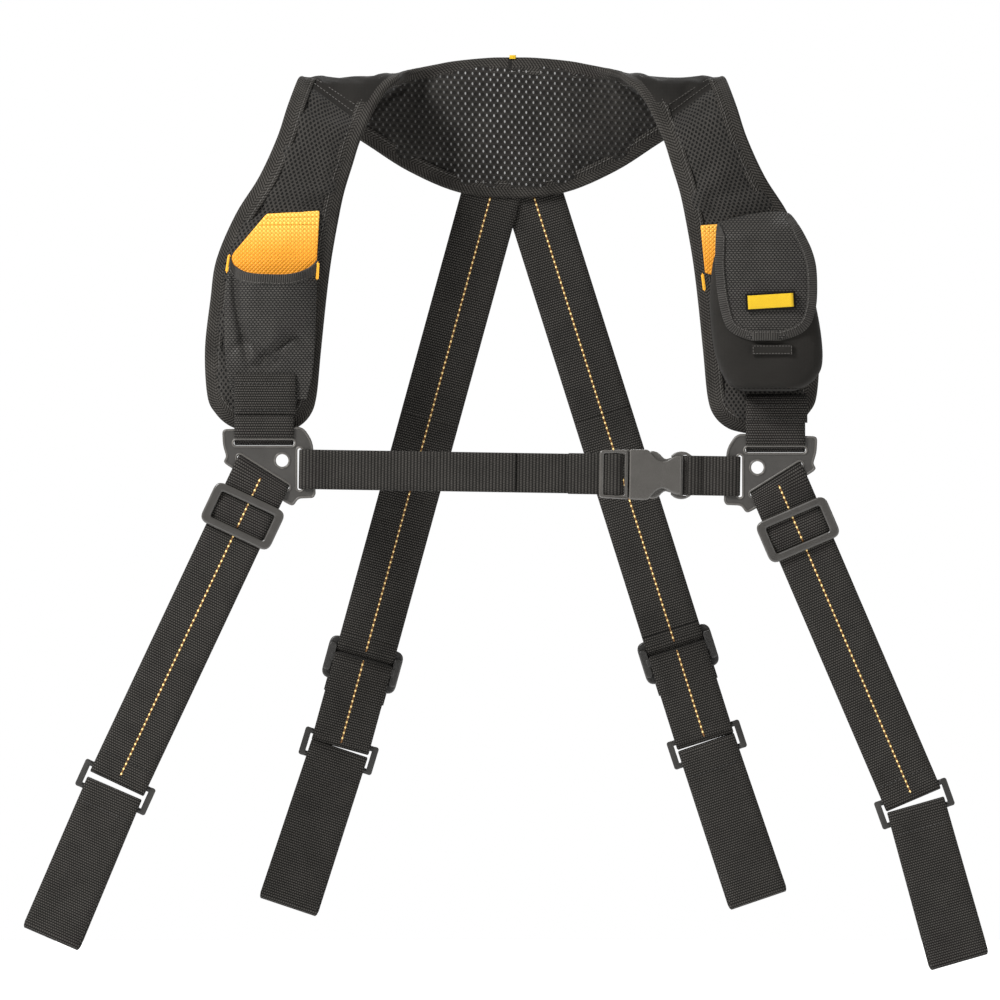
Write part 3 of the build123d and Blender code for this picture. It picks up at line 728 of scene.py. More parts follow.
def rear_strap(side):
    """A rear strap: from the seam under the back panel to its adjuster and ring, and back up in front."""
    name = f"rear_{side}"
    end, adjuster_body = f"{name}_end", f"{name}_adjuster"
    ring, slack, hinge = joint_at(f"{name}_ring_turn"), centre(f"{name}_strap_slack"), joint_at("rear_swing")
    direction = Vector((ring.x - slack.x, 0, ring.z - slack.z)).normalized()
    line = Line(slack + direction * ((hinge.z - slack.z) / direction.z), direction)
    adjuster, bar = line.distance(centre(f"{name}_adjuster")), line.distance(ring)
    split = line.distance(slack) - 45

    path = [line.at(-14 + (split + 14) * k / 80) for k in range(81)]
    for point in path:
        point.y += 0.6 * noise.noise(Vector((point.z * 0.02, point.x * 0.02, 1.0)))
    hinged = ("yoke", "rear_straps"), line.at(-2), line.at(3)
    bent(web(f"{name}_webbing_top", path, line.across), "webbing", *hinged, f"{name}_strap")
    gold_line(f"{name}_top", lifted([p for p in path if line.distance(p) > -3]), *hinged)

    low_path = line.path([(split - 0.5, 0), (adjuster - 30, 0), (adjuster - ADJUSTER_HALF - 2, -0.8),
                          (adjuster - 8.5, -2.0), (adjuster - 6.2, -0.8), (adjuster - 5.4, 0.4), (adjuster, 0.5),
                          (adjuster + 8, 0.2), (adjuster + 20, 0.0), (bar - 4, 0)])
    low_path += around(line, bar, -1, bar - BACK_UP)
    reach = ("rear_straps", end), line.at(split + 4), line.at(adjuster - 60)
    low = web(f"{name}_webbing_low", low_path, line.across, start=split)
    bent(low, "webbing", *reach, f"{name}_strap_slack", f"{name}_strap_end")
    gold_line(f"{name}_low", lifted([p for p in low_path if line.distance(p) < adjuster - 7]), *reach)

    fold_path = line.path([(adjuster - 3.3, -0.9), (adjuster - 2.4, -3.2), (adjuster + 1, -4.8), (adjuster + 6, -4.6),
                           (adjuster + ADJUSTER_HALF, -5.4), (adjuster + 24, -6.3), (bar - 12, -6.8),
                           (bar + 2.0, -6.8)])
    reach = (end, adjuster_body), line.at(bar - 16), line.at(adjuster + 8)
    bent(web(f"{name}_webbing_fold", fold_path, line.across), "webbing", *reach)
    gold_line(f"{name}_fold", lifted([p for p in fold_path if line.distance(p) > adjuster - 4], 0.9), *reach)
    hem = line.path([(adjuster + 14, -3.4), (adjuster + 17, -3.7), (adjuster + 22, -3.9)])
    finish_piece(web(f"{name}_hem", hem, line.across, 1.6), adjuster_body, "webbing")


def belt_loop(name):
    """A flat loop of webbing on the ring's lower bar; its two layers lie a little askew."""
    top = joint_at(f"{name}_loop_turn")
    line = Line(top, centre(f"{name}_belt_loop") - top)
    low, high = low_high(f"{name}_belt_loop")
    corner = max((Vector((x, 0, z)) - Vector((top.x, 0, top.z))).dot(line.along)
                 for x in (low.x, high.x) for z in (low.z, high.z))
    tallest = (top.z - low.z - WEB_W / 2 * abs(line.across.z)) / abs(line.along.z)
    bottom = min(corner, tallest) - 0.8
    half = (high.y - low.y) / 2 - WEB_T / 2
    lean = 1.4 if name.endswith("left") else -1.4
    slack = BAR_SLACK + (3.8 if name.startswith("rear") else 1.2)

    def layer(share, face, askew):
        pinch = 1 - 0.42 * math.sin(math.pi * share) ** 0.6
        return line.at(-slack + (bottom - half + slack) * share, face * half * pinch, askew)

    turns = [math.pi * k / 6 for k in range(7)]
    shares = [k / 30 for k in range(1, 30)]
    points = [line.at(-slack - half * math.sin(turn), half * math.cos(turn)) for turn in turns]
    points += [layer(share, -1, 0.0) for share in shares]
    points += [line.at(bottom - half * (1 - 0.9 * math.sin(turn)), -half * math.cos(turn), lean * turn / math.pi)
               for turn in turns]
    points += [layer(1 - share, 1, lean * (1 - share)) for share in shares]
    loop = web(f"{name}_loop", points, line.across, closed=True)
    finish_piece(loop, f"{name}_loop", "webbing", f"{name}_belt_loop")
    sew(f"{name}_loop_stitches", line.row(9.0, -half * 0.72 - FACE_LIFT), FRONT, "rail",
        f"{name}_loop", "webbing", "belt_loop")


def chest_straps():
    """The chest strap: a loop through each plate's slot, the slack through the ladder, its tail, and five seams."""
    line = chest_line()
    hem = line.distance(centre("chest_slack")) - 34
    left_end = line.distance(low_high("buckle_socket")[0])
    half = WEB_T / 2 + 0.05

    def strap(name, points, step=2.0, extra=0.0):
        return web(name, line.path(points, step), -line.across, extra, "chest", CHEST_W)

    front = [(hem, -half), (hem - 40, -half), (40, -half), (21, -half), (14, -1.9), (9, -2.8), (3, -2.8), (0.4, -1.6)]
    back = [(0.2, 0), (0.4, 1.6), (3, 2.8), (9, 2.8), (14, 1.9), (21, half), (40, half), (hem + 3, half)]
    finish_piece(strap("chest_webbing_left", front + back), "left_plate", "webbing", "chest_strap_left")
    slack = strap("chest_webbing_slack", [(hem - 6, 0.1), (hem + 6, 0.2), (left_end - 10, 0.1), (left_end + 6, -0.3),
                                          (left_end + 12, -0.3)])
    bent(slack, "webbing", ("left_plate", "socket"), line.at(hem + 2), line.at(left_end - 24), "chest_slack")
    tail = [(-20, -2.6), (-12, -3.2), (-2, -3.0), (4, -2.6), (8, -3.8), (11.5, -4.2), (14, -2.6), (14.4, -0.6)]
    finish_piece(strap("chest_webbing_tail", [(left_end + d, y) for d, y in tail], 1.2, 0.8), "socket", "webbing",
                 "chest_tail")

    right_slot = line.distance(low_high("chest_strap_right")[1]) - 0.4
    bar = line.distance(low_high("buckle_plug")[1]) - 1.5
    there = [(bar + 0.4, 2.6), (bar + 4, 2.3), (bar + 8, half), (right_slot - 40, half), (right_slot - 21, half),
             (right_slot - 14, 1.9), (right_slot - 9, 2.8), (right_slot - 3, 2.8), (right_slot - 0.4, 1.6)]
    again = [(right_slot - 0.2, 0)] + [(d, -y) for d, y in reversed(there)] + [(bar - 2.0, 0)]
    finish_piece(strap("chest_webbing_right", there + again), "right_plate", "webbing", "chest_strap_right")
    for at, body, label in ((hem - 2.5, "left_plate", "hem"), (19, "left_plate", "left"),
                            (22, "left_plate", "left_two"), (right_slot - 21, "right_plate", "right"),
                            (bar + 12, "right_plate", "bar")):
        sew(f"chest_stitches_{label}", line.row(at, -half - 0.15, 11), FRONT, "rail", body, "webbing", "chest")


# ---- CAD pieces that keep their shape ----

def keep_cad(node, look, bevel):
    """A hard CAD node: welded, with moulded edges and its plastic."""
    obj = frame["nodes"][node]
    weld = obj.modifiers.new("Weld", "WELD")
    weld.merge_threshold = 0.00002
    edges = obj.modifiers.new("Edges", "BEVEL")
    edges.width = bevel * MM
    edges.segments = 3
    edges.limit_method = "ANGLE"
    edges.angle_limit = math.radians(38)
    edges.harden_normals = True
    for polygon in obj.data.polygons:
        polygon.use_smooth = True
    obj.data.materials.clear()
    obj.data.materials.append(MATS[look])


# a plate's outline and openings from its top slot, the first value towards the middle of the chest
PLATE_EDGE = [(-26.8, 8.8, 3), (24.9, 10.5, 4), (31.3, 1.0, 5), (33.1, -32.8, 2), (31.6, -35.2, 2), (22.1, -35.6, 2),
              (18.5, -40.6, 2.2), (13.9, -38.3, 1.5), (-24.5, -13.6, 2), (-25.9, -11.8, 1.5), (-24.1, -8.6, 2),
              (-26.3, -1.7, 4)]
PLATE_CORNER = (26.8, 10.5)     # from the top slot out and up to the corner of the plate's box
PLATE_TOP_SLOT = (38.8, 3.4)
PLATE_CHEST_SLOT = (22.8, -16.8, 26.8, 2.8)
PLATE_STRAP_SLOT = (-0.5, -18.8)
PLATE_HOLE = (11.6, -11.2, 4.0)


def plate(side):
    """A triangular plate with rounded edges, and raised rims round its slots and its hole."""
    low, high = low_high(f"plate_{side}")
    inward = 1 if side == "left" else -1
    thick = high.y - low.y
    out, above = PLATE_CORNER
    origin = Vector((low.x + out if side == "left" else high.x - out, (low.y + high.y) / 2, high.z - above))
    along, up = Vector((inward, 0, 0)), Vector((0, 0, 1))
    length, width = PLATE_TOP_SLOT
    outlines = [rounded(PLATE_EDGE, 2),
                stadium(0, 0, length, width),
                stadium(*PLATE_CHEST_SLOT, math.pi / 2),
                stadium(*PLATE_STRAP_SLOT, length, width, -SLOT_TILT),
                [Vector(PLATE_HOLE[:2]) + Vector((math.cos(k * math.pi / 16), math.sin(k * math.pi / 16)))
                 * PLATE_HOLE[2] for k in range(32)]]
    body = moulded(f"plate_{side}_moulding", [moulded_mesh(outlines, thick, 0.55, origin, along, up)], "plate")
    finish_piece(body, f"{side}_plate", "plate_plastic", f"plate_{side}")
    for number, ring in enumerate(outlines):
        middle = sum(ring, Vector((0, 0))) / len(ring)
        path, across = [], []
        for k, point in enumerate(ring):
            run = ring[(k + 1) % len(ring)] - ring[k - 1]
            outward = Vector((run.y, -run.x)).normalized()
            if outward.dot(point - middle) < 0:
                outward = -outward
            # a rim lies inside the plate's edge and outside a hole's
            grown = point + outward * (0.75 if number else -0.9)
            path.append(origin + along * grown.x + up * grown.y + Vector((0, -thick / 2 + 0.02, 0)))
            across.append(along * outward.x + up * outward.y)
        # the rims are paler than the plate: a painted highlight round its edge, its slots and its hole
        rim = sweep(f"plate_{side}_rim_{number}", path, across, rounded_section(1.2, 1.1, 0.45), "rim", closed=True)
        finish_piece(rim, f"{side}_plate", "plate_plastic")


def hanging_frame(name):
    """A strap's adjuster: a rounded frame on one face of the webbing, and a bar on the other."""
    front = name.startswith("front")
    ring, adjuster = joint_at(f"{name}_ring_turn"), centre(f"{name}_adjuster")
    line = Line(adjuster, ring - adjuster)
    face = -1 if front else 1
    half_w, half_h, rail, bar, gap = 24.4, 14.1, 5.8, 5.2, 1.5
    low, high = low_high(f"{name}_adjuster")
    depth = high.y - low.y
    outer_t = depth / 2 - gap

    def part(outlines, thick, bevel, at):
        return moulded_mesh(outlines, thick, bevel, line.at(0, at), line.across, -line.along)

    window = rectangle(-half_w + rail, -half_h + bar, half_w - rail, half_h - bar)
    parts = [part([rounded(rectangle(-half_w, -half_h, half_w, half_h), 6.0, 6), rounded(window, 1.6)], outer_t, 1.2,
                  face * (gap + outer_t / 2))]
    for side in (-1, 1):
        # a millimetre thinner than the frame, so that no two faces lie in one plane
        strip = rectangle(side * (half_w - rail + 0.4), -half_h + 5, side * (half_w - 0.4), half_h - 5)[::side]
        parts.append(part([rounded(strip, 2.5)], depth - 1.0, 0.8, 0))
    parts.append(part([rounded(rectangle(-half_w + 3, -bar / 2, half_w - 3, bar / 2), 1)], outer_t, 0.9,
                      -face * (gap + outer_t / 2)))
    made = moulded(f"{name}_adjuster_frame", parts, "adjuster" if front else "rail")
    finish_piece(made, f"{name}_adjuster", "adjuster_plastic", f"{name}_adjuster")


def chest_line():
    axis = Vector(next(j for j in frame["joints"] if j["name"] == "buckle_release")["axis"])
    slack = centre("chest_slack")
    line = Line(slack, -axis)
    line.origin = line.at((low_high("chest_strap_left")[0].x + 0.4 - slack.x) / line.along.x)
    return line


# the side-release buckle from its left end, upper half: distance along the strap, half height
FACE_EDGE = [(19.4, 15.9), (28.5, 16.2), (31.5, 15.6), (34.2, 12.6), (37.3, 9.7), (40.4, 8.7), (43.4, 9.4),
             (46.4, 11.2), (49.5, 12.3), (52.6, 12.4)]
PRONG_EDGE = [(51.0, 8.6), (51.0, 11.4), (46.0, 11.2), (42.6, 10.4), (40.6, 11.4), (38.2, 13.8), (35.2, 15.2),
              (32.4, 14.9), (31.6, 12.2), (27.0, 11.0), (26.6, 8.6), (33.0, 7.6), (42.0, 7.2)]
SHOULDER_EDGE = [(46.0, 12.6), (48.5, 14.4), (52.0, 15.3), (55.5, 14.9), (58.2, 13.4), (59.2, 12.6)]


def both_halves(edge):
    """A closed outline from its upper half."""
    half = [(p.x, p.y) for p in spline([Vector((x, z, 0)) for x, z in edge], 1.0)]
    return half + [(x, -z) for x, z in reversed(half)]


def buckle():
    """The side-release buckle: socket with a ladder for the strap, plug with a bar, and two springy prongs."""
    line = chest_line()
    low, high = low_high("buckle_socket")
    left = line.distance(Vector((low.x, 0, (low.z + high.z) / 2)))
    thick, sheet_t = 10.0, 2.3

    def part(outlines, part_t, bevel, depth=0.0):
        return moulded_mesh(outlines, part_t, bevel, line.at(left, depth), line.along, line.across)

    face = both_halves(FACE_EDGE)
    parts = [part([face], sheet_t, 1.0, side * (thick - sheet_t) / 2) for side in (-1, 1)]
    for side in (-1, 1):
        wall = [(19.6, side * 12.8), (31.2, side * 12.8), (31.2, side * 15.6), (19.6, side * 15.8)][::side]
        parts.append(part([rounded(wall, 1)], thick - 2, 0.5))
    frame_edge = rounded([(0, -15.2, 2.5), (18.5, -15.9, 0.6), (18.5, 15.9, 0.6), (0, 15.2, 2.5)], 2)
    parts.append(part([frame_edge, rounded(rectangle(3.0, -13.2, 16.2, 13.2), 1)], 4.4, 0.9, -2.0))
    parts.append(part([rounded(rectangle(16.6, -15.2, 22.0, 15.2), 0.5)], 2.4, 0.6, 1.2))
    parts.append(part([rounded(rectangle(8.4, -13.6, 12.4, 13.6), 0.5)], 2.6, 0.8, -1.4))
    finish_piece(moulded("buckle_socket_moulding", parts, "buckle"), "socket", "buckle_plastic", "buckle_socket")

    window = rounded(rectangle(53.6, -13.0, 56.0, 13.0), 0.5)
    guide = rounded(rectangle(27, -2.2, 48, 2.2), 1)
    parts = [part([both_halves(SHOULDER_EDGE), window], 4.4, 0.9), part([guide], 4.0, 0.8)]
    finish_piece(moulded("buckle_plug_moulding", parts, "buckle"), "right_plate", "buckle_plastic", "buckle_plug")
    for name, side in (("upper", 1), ("lower", -1)):
        arm = [(p.x, side * p.y) for p in spline([Vector((x, z, 0)) for x, z in PRONG_EDGE], 1.0, closed=True)][::side]
        prong = moulded(f"prong_{name}_moulding", [part([arm], 4.6, 1.0)], "buckle")
        finish_piece(prong, f"{name}_prong", "buckle_plastic", f"prong_{name}")


def hard_pieces():
    for side in ("left", "right"):
        plate(side)
    buckle()
    for name in STRAPS:
        hanging_frame(name)
        keep_cad(f"{name}_ring", "rail", 0.6)


# ---- yoke ----

# Rows across the +X side, from a pad's lower end over the shoulder to the middle of the back:
# a point on the inner edge and one on the outer edge, on the middle of the padding.
ROWS = [
    ((150, -39, -220.5), (166, -39, -220.5)), ((139, -39, -217.5), (180, -39, -216)),
    ((130.5, -39, -210), (189, -39, -208)), ((126.3, -39, -198), (194, -39, -197)),
    ((123.5, -39, -170), (195.5, -39, -168)), ((120, -39, -136), (192, -39, -136)),
    ((116.8, -39, -110.7), (188.2, -39, -110.7)), ((112.3, -39, -85), (176, -39, -82)),
    ((108.5, -39, -67), (161, -39, -58)), ((103, -38.8, -49), (149.5, -37.5, -33)),
    ((99, -38, -36), (143, -31, -13)), ((94.5, -36.5, -25.5), (137, -12, 3.5)),
    ((88, -30, -11.5), (135.5, 2, 5.5)), ((81, -21, -1), (134.5, 14, 3)),
    ((73, -9, 5.5), (131, 27, -5)), ((70, 12, 8.5), (122, 36, -15)),
    ((64, 24, 10.5), (110, 38.7, -24)), ((54, 32.5, 13.2), (92, 39, -35.5)),
    ((38, 37, 16.5), (66, 39, -52)), ((15, 38.7, 18.8), (34, 39, -65.5)),
    ((0, 39, 19), (0, 39, -69)),
]
SEAM_ROW, BACK_ROW, LAST_ROW = 11, 16, 20
PAD_T, EDGE_T, SEAM_T = 10.0, 3.6, 4.6
BINDING_DEPTH = 10.0


def catmull(points, at):
    """A point of the smooth curve through a list, at a fractional index; the curve is level at both ends."""
    i = min(int(at), len(points) - 2)
    t = at - i
    a, b, c, d = (Vector(points[min(max(k, 0), len(points) - 1)]) for k in (i - 1, i, i + 1, i + 2))
    return 0.5 * (2 * b + (c - a) * t + (2 * a - 5 * b + 4 * c - d) * t * t + (3 * b - 3 * c + d - a) * t * t * t)


def flip(point):
    return Vector((-point[0], point[1], point[2]))


INNER = [row[0] for row in ROWS]
OUTER = [row[1] for row in ROWS]
# beyond the middle the rows go on with their mirror images, so that the curves are smooth there
INNER_ALL = INNER + [flip(p) for p in reversed(INNER[:-1])]
OUTER_ALL = OUTER + [flip(p) for p in reversed(OUTER[:-1])]


def middle_at(row, share):
    return catmull(INNER_ALL, row).lerp(catmull(OUTER_ALL, row), share)


def out_at(row, share):
    """The unit vector that leaves the padding on the side away from the wearer."""
    step = 0.05
    low, high = max(row - step, 0), min(row + step, 2 * LAST_ROW)
    along = middle_at(high, share) - middle_at(low, share)
    across = catmull(OUTER_ALL, row) - catmull(INNER_ALL, row)
    return across.cross(along).normalized()


def tree_of(points):
    tree = KDTree(len(points))
    for i, point in enumerate(points):
        tree.insert(point, i)
    tree.balance()
    return tree


EDGE_ROWS = [k / 8 for k in range(8 * 2 * LAST_ROW + 1)]
EDGE_TREE = tree_of([catmull(line, row) for line in (INNER_ALL, OUTER_ALL) for row in EDGE_ROWS]
                    + [middle_at(row, k / 8) for row in (0, 2 * LAST_ROW) for k in range(9)])
SEAM_TREE = tree_of([middle_at(row, k / 60) for row in (SEAM_ROW, BACK_ROW, 2 * LAST_ROW - BACK_ROW,
                                                        2 * LAST_ROW - SEAM_ROW) for k in range(61)])


def ease(value):
    value = min(1.0, max(0.0, value))
    return value * value * (3 - 2 * value)


def thickness(point):
    """The padding's thickness: thin at its edges and seams."""
    edge = EDGE_TREE.find(point)[2]
    seam = SEAM_TREE.find(point)[2]
    return min(EDGE_T + (PAD_T - EDGE_T) * ease(edge / 14), SEAM_T + (PAD_T - SEAM_T) * ease(seam / 9))


def inflate(obj, pinned):
    """Cloth simulation that swells a closed mesh between its pinned seams; no point moves further than SWELL_CAP."""
    mesh = obj.data
    rest = [v.co.copy() for v in mesh.vertices]
    group = obj.vertex_groups.new(name="pins")
    group.add(pinned, 1.0, "REPLACE")
    cloth = obj.modifiers.new("Cloth", "CLOTH")
    settings = cloth.settings
    for key, value in (("quality", 5), ("mass", 0.3), ("tension_stiffness", 12), ("compression_stiffness", 12),
                       ("shear_stiffness", 6), ("bending_stiffness", 0.4), ("use_pressure", True),
                       ("uniform_pressure_force", 4.0), ("vertex_group_mass", "pins"), ("shrink_min", -0.025)):
        setattr(settings, key, value)
    settings.effector_weights.gravity = 0
    cloth.collision_settings.use_collision = False
    cloth.collision_settings.use_self_collision = False
    cloth.point_cache.frame_start, cloth.point_cache.frame_end = 1, CLOTH_FRAMES
    scene = bpy.context.scene
    for step in range(1, CLOTH_FRAMES + 1):
        scene.frame_set(step)
    moved = obj.evaluated_get(bpy.context.evaluated_depsgraph_get())
    places = [v.co.copy() for v in moved.data.vertices]
    obj.modifiers.remove(cloth)
    for vertex, before, after in zip(mesh.vertices, rest, places):
        move = after - before
        if move.length > SWELL_CAP * MM:
            move *= SWELL_CAP * MM / move.length
        vertex.co = before + move
    obj.vertex_groups.clear()
    scene.frame_set(1)


def smoothed(obj):
    soft = obj.modifiers.new("Soft", "SUBSURF")
    soft.levels = soft.render_levels = 1
    return obj


def padding(name, node, first, last, looks, rows, columns, seed):
    """A closed padded panel of the yoke between two rows, inflated between its seams."""
    layers, uvs, run = [], [], 0.0
    for i in range(rows + 1):
        row = first + (last - first) * i / rows
        if i:
            run += (middle_at(row, 0.5) - middle_at(first + (last - first) * (i - 1) / rows, 0.5)).length
        width = (catmull(OUTER_ALL, row) - catmull(INNER_ALL, row)).length
        for j in range(columns + 1):
            share = j / columns
            middle, out = middle_at(row, share), out_at(row, share)
            thick = thickness(middle)
            wrinkle = 0.35 * noise.noise(middle * 0.055 + Vector((seed, 0, 0))) * (thick - EDGE_T) / PAD_T
            layers.append((middle + out * (thick / 2 + wrinkle), middle - out * (thick / 2 - wrinkle), thick))
            uvs.append((run * MM, (share - 0.5) * width * MM))
    size, quads = len(layers), rows * columns
    points = [layer[side] for side in (0, 1) for layer in layers]
    pinned = [side * size + i for side in (0, 1) for i, layer in enumerate(layers) if layer[2] < SEAM_T + 1.2]
    faces = shell_faces(columns, rows, turned=True)
    if last < first:
        faces = [tuple(reversed(face)) for face in faces]
    obj = build(name, points, faces, looks[0], uvs + uvs)
    obj.data.materials.append(MATS[looks[1]])
    for polygon in obj.data.polygons[quads:2 * quads]:
        polygon.material_index = 1
    inflate(obj, pinned)
    smoothed(obj)
    finish_piece(obj, "yoke", {"spacer": "spacer_mesh", "plain": "plain_fabric"}[looks[0]], node)


def binding():
    """One band of tape around the whole yoke, with its stitched line on both faces."""
    down = [LAST_ROW - k / 6 for k in range(LAST_ROW * 6)]
    up = [k / 6 for k in range(LAST_ROW * 6)]
    shares = [k / 6 for k in range(6)]
    edge = [(catmull(INNER_ALL, row), out_at(row, 0.02)) for row in down]
    edge += [(middle_at(0, share), out_at(0.1, share)) for share in shares]
    edge += [(catmull(OUTER_ALL, row), out_at(row, 0.98)) for row in up]
    edge += [(flip(catmull(OUTER_ALL, row)), flip(out_at(row, 0.98))) for row in down]
    edge += [(flip(middle_at(0, 1 - share)), flip(out_at(0.1, 1 - share))) for share in shares]
    edge += [(flip(catmull(INNER_ALL, row)), flip(out_at(row, 0.02))) for row in up]
    count = len(edge)
    places = [e[0] for e in edge]
    depths = (BINDING_DEPTH, 8.6, 7.0, 5.2, 3.4, 1.6, 0.2)
    points, uvs, run = [], [], 0.0
    lines = {"front": ([], []), "back": ([], [])}
    for i, (place, out) in enumerate(edge):
        tangent = (places[(i + 2) % count] - places[i - 2]).normalized()
        inward = out.cross(tangent).normalized()
        out = tangent.cross(inward).normalized()
        # the panel always lies on the same hand of this loop
        if out.dot(edge[i][1]) < 0:
            out = -out
        if i:
            run += (place - places[i - 1]).length
        for face in (1, -1):
            side = []
            for depth in depths:
                spot = place + inward * depth
                lift = thickness(spot) / 2 + 0.5 + 0.10 * noise.noise(spot * 0.6)
                side.append((spot + out * face * lift, depth))
            lip = place + inward * BINDING_DEPTH + out * face * (thickness(place + inward * BINDING_DEPTH) / 2 - 1.0)
            side = [(lip, BINDING_DEPTH + 1)] + side + [(place - inward * 0.8 + out * face * 1.3, -1.0)]
            if face > 0:
                made = side + [(place - inward * 1.15, -2.0)]
            else:
                made += list(reversed(side))
            stitched = lines["front" if face > 0 else "back"]
            spot = place + inward * 8.0
            stitched[0].append(spot + out * face * (thickness(spot) / 2 + 0.55))
            stitched[1].append(out * face)
        for point, depth in made:
            points.append(point)
            uvs.append((run * MM, (BINDING_DEPTH - depth) * MM))
    size = len(points) // count
    faces = [(i * size + k, i * size + (k + 1) % size, (i + 1) % count * size + (k + 1) % size,
              (i + 1) % count * size + k) for i in range(count) for k in range(size)]
    band = build("yoke_binding", points, faces, "binding", uvs)
    finish_piece(band, "yoke", "binding_tape", "binding_left", "binding_right", "back_binding", "collar_binding")
    for label, (path, outs) in lines.items():
        sew(f"yoke_stitches_{label}", path + path[:1], outs, "thread", "yoke", "binding_tape", "binding")


def surface_line(row_from, row_to, share_from, share_to):
    """Points just above the padding's outer face and the directions that leave it."""
    path, outs, count, lift = [], [], 40, 0.2
    for k in range(count + 1):
        t = k / count
        row, share = row_from + (row_to - row_from) * t, share_from + (share_to - share_from) * t
        middle, out = middle_at(row, share), out_at(row, share)
        path.append(middle + out * (thickness(middle) / 2 + lift))
        outs.append(out)
    return path, outs


def shoulder_seams():
    """Stitched lines beside the seam where each shoulder cover is folded onto its pad."""
    for label, turned in (("right", False), ("left", True)):
        for number, row in ((1, SEAM_ROW + 0.22), (2, SEAM_ROW + 0.5)):
            path, outs = surface_line(row, row + 0.05, 0.14, 0.86)
            if turned:
                path, outs = [flip(p) for p in path], [flip(o) for o in outs]
            sew(f"shoulder_stitches_{label}_{number}", path, outs, "thread", "yoke", "plain_fabric", "shoulder")


CHANNEL = ((-19.5, -6), (19.5, -6), (27, -49), (-24, -49))     # its corners, from the top left


def channel():
    """The trapezium sewn into the middle of the back panel, on the wearer's side."""
    top_left, top_right, low_right, low_left = (Vector((x, 0, z)) for x, z in CHANNEL)
    columns, rows = 26, 24
    points = []
    for layer in (0, 1):
        for i in range(rows + 1):
            t = i / rows
            left, right = top_left.lerp(low_left, t), top_right.lerp(low_right, t)
            for j in range(columns + 1):
                s = j / columns
                spot = left.lerp(right, s)
                swell = (1 - abs(2 * s - 1) ** 5) * (1 - abs(2 * t - 1) ** 7)
                seam = math.exp(-((t - 0.76) / 0.035) ** 2)
                lump = 0.5 * noise.noise(spot * 0.09)
                y = 34.6 - (4.0 + lump) * swell * (1 - 0.75 * seam) if layer == 0 else 35.6
                points.append(Vector((spot.x, y, spot.z)))
    cover = smoothed(build("back_channel_cover", points, shell_faces(columns, rows), "dotted"))
    finish_piece(cover, "yoke", "dotted_mesh", "back_channel")
    outline = spline([Vector((p.x, p.y, 0)) for p in rounded(CHANNEL, 7.0)], 2.0, closed=True)
    path = [Vector((p.x, 34.3 + 0.3 * noise.noise(p * 0.2), p.y)) for p in outline]
    across = [Vector((0, 1, 0)).cross(path[(i + 1) % len(path)] - path[i - 1]).normalized() for i in range(len(path))]
    # painted shade: a very dark strip along the channel's outline stands for the shadow in its sewn groove
    groove = sweep("channel_groove_shade", path, across, web_section(2.8, 0.9), "shade", closed=True)
    finish_piece(groove, "yoke", "dotted_mesh")
    sew("channel_stitches", path + path[:1], FRONT, "rail", "yoke", "dotted_mesh", "channel")


def yoke():
    # the back panel is turned over: its dotted side faces the wearer
    end = 2 * LAST_ROW
    mesh, cover = ("spacer", "spacer"), ("plain", "dotted")
    for name, node, first, last, looks, rows, columns, seed in (
            ("pad_right_padding", "pad_right", 0, SEAM_ROW, mesh, 60, 18, 1.0),
            ("pad_left_padding", "pad_left", end, end - SEAM_ROW, mesh, 60, 18, 5.0),
            ("shoulder_right_cover", "shoulder_right", SEAM_ROW, BACK_ROW, cover, 28, 20, 2.0),
            ("shoulder_left_cover", "shoulder_left", end - SEAM_ROW, end - BACK_ROW, cover, 28, 20, 6.0),
            ("back_padding", "back_panel", BACK_ROW, end - BACK_ROW, cover, 52, 26, 3.0)):
        padding(name, node, first, last, looks, rows, columns, seed)
    binding()
    shoulder_seams()
    channel()
    low, high = low_high("neck_tab")
    width, depth, height = high - low
    path = [Vector((0.5 * (low.x + high.x), 0.5 * (low.y + high.y) - 1, high.z - height * k / 6)) for k in range(7)]
    tab = sweep("neck_tab_fold", path, RIGHT, rounded_section(width * 0.6, depth, 0.8), "label")
    finish_piece(tab, "yoke", "yellow_trim", "neck_tab")


# ---- pockets ----

def patch(name, columns, rows, place, look, thick, offset=0):
    """A cloth sheet: place(s, t) gives the point for 0..1 across and down. Solidify gives it its thickness."""
    points = [place(j / columns, i / rows) for i in range(rows + 1) for j in range(columns + 1)]
    uvs = [(point.x * MM, point.z * MM) for point in points]
    obj = build(name, points, grid_faces(columns, rows), look, uvs)
    solid = obj.modifiers.new("Thickness", "SOLIDIFY")
    solid.thickness, solid.offset = thick * MM, offset
    return smoothed(obj)


def bilinear(corners, s, t):
    """A point between four (x, z) corners: top left, top right, bottom right, bottom left."""
    top = Vector(corners[0]).lerp(Vector(corners[1]), s)
    bottom = Vector(corners[3]).lerp(Vector(corners[2]), s)
    return top.lerp(bottom, t)


def tape(name, path, inner, width, body, thick=2.2):
    """Ribbed tape folded over a cloth's edge; inner is the matching line further in. body is the yoke, or what
    bent() needs."""
    across = [(b - a).normalized() for a, b in zip(path, inner)]
    middle = [p + a * (width / 2 - 0.8) for p, a in zip(path, across)]
    made = sweep(name, middle, across, rounded_section(width, thick, 0.9), "grosgrain")
    line = [p + a * (width - 2.0) + FRONT * (thick / 2 + 0.05) for p, a in zip(path, across)]
    sewn = stitches(name + "_stitches", line, FRONT, "thread", *SEAMS["tape"])
    for piece in (made, sewn):
        if body == "yoke":
            finish_piece(piece, body, "ballistic_fabric")
        else:
            bent(piece, "ballistic_fabric", *body)


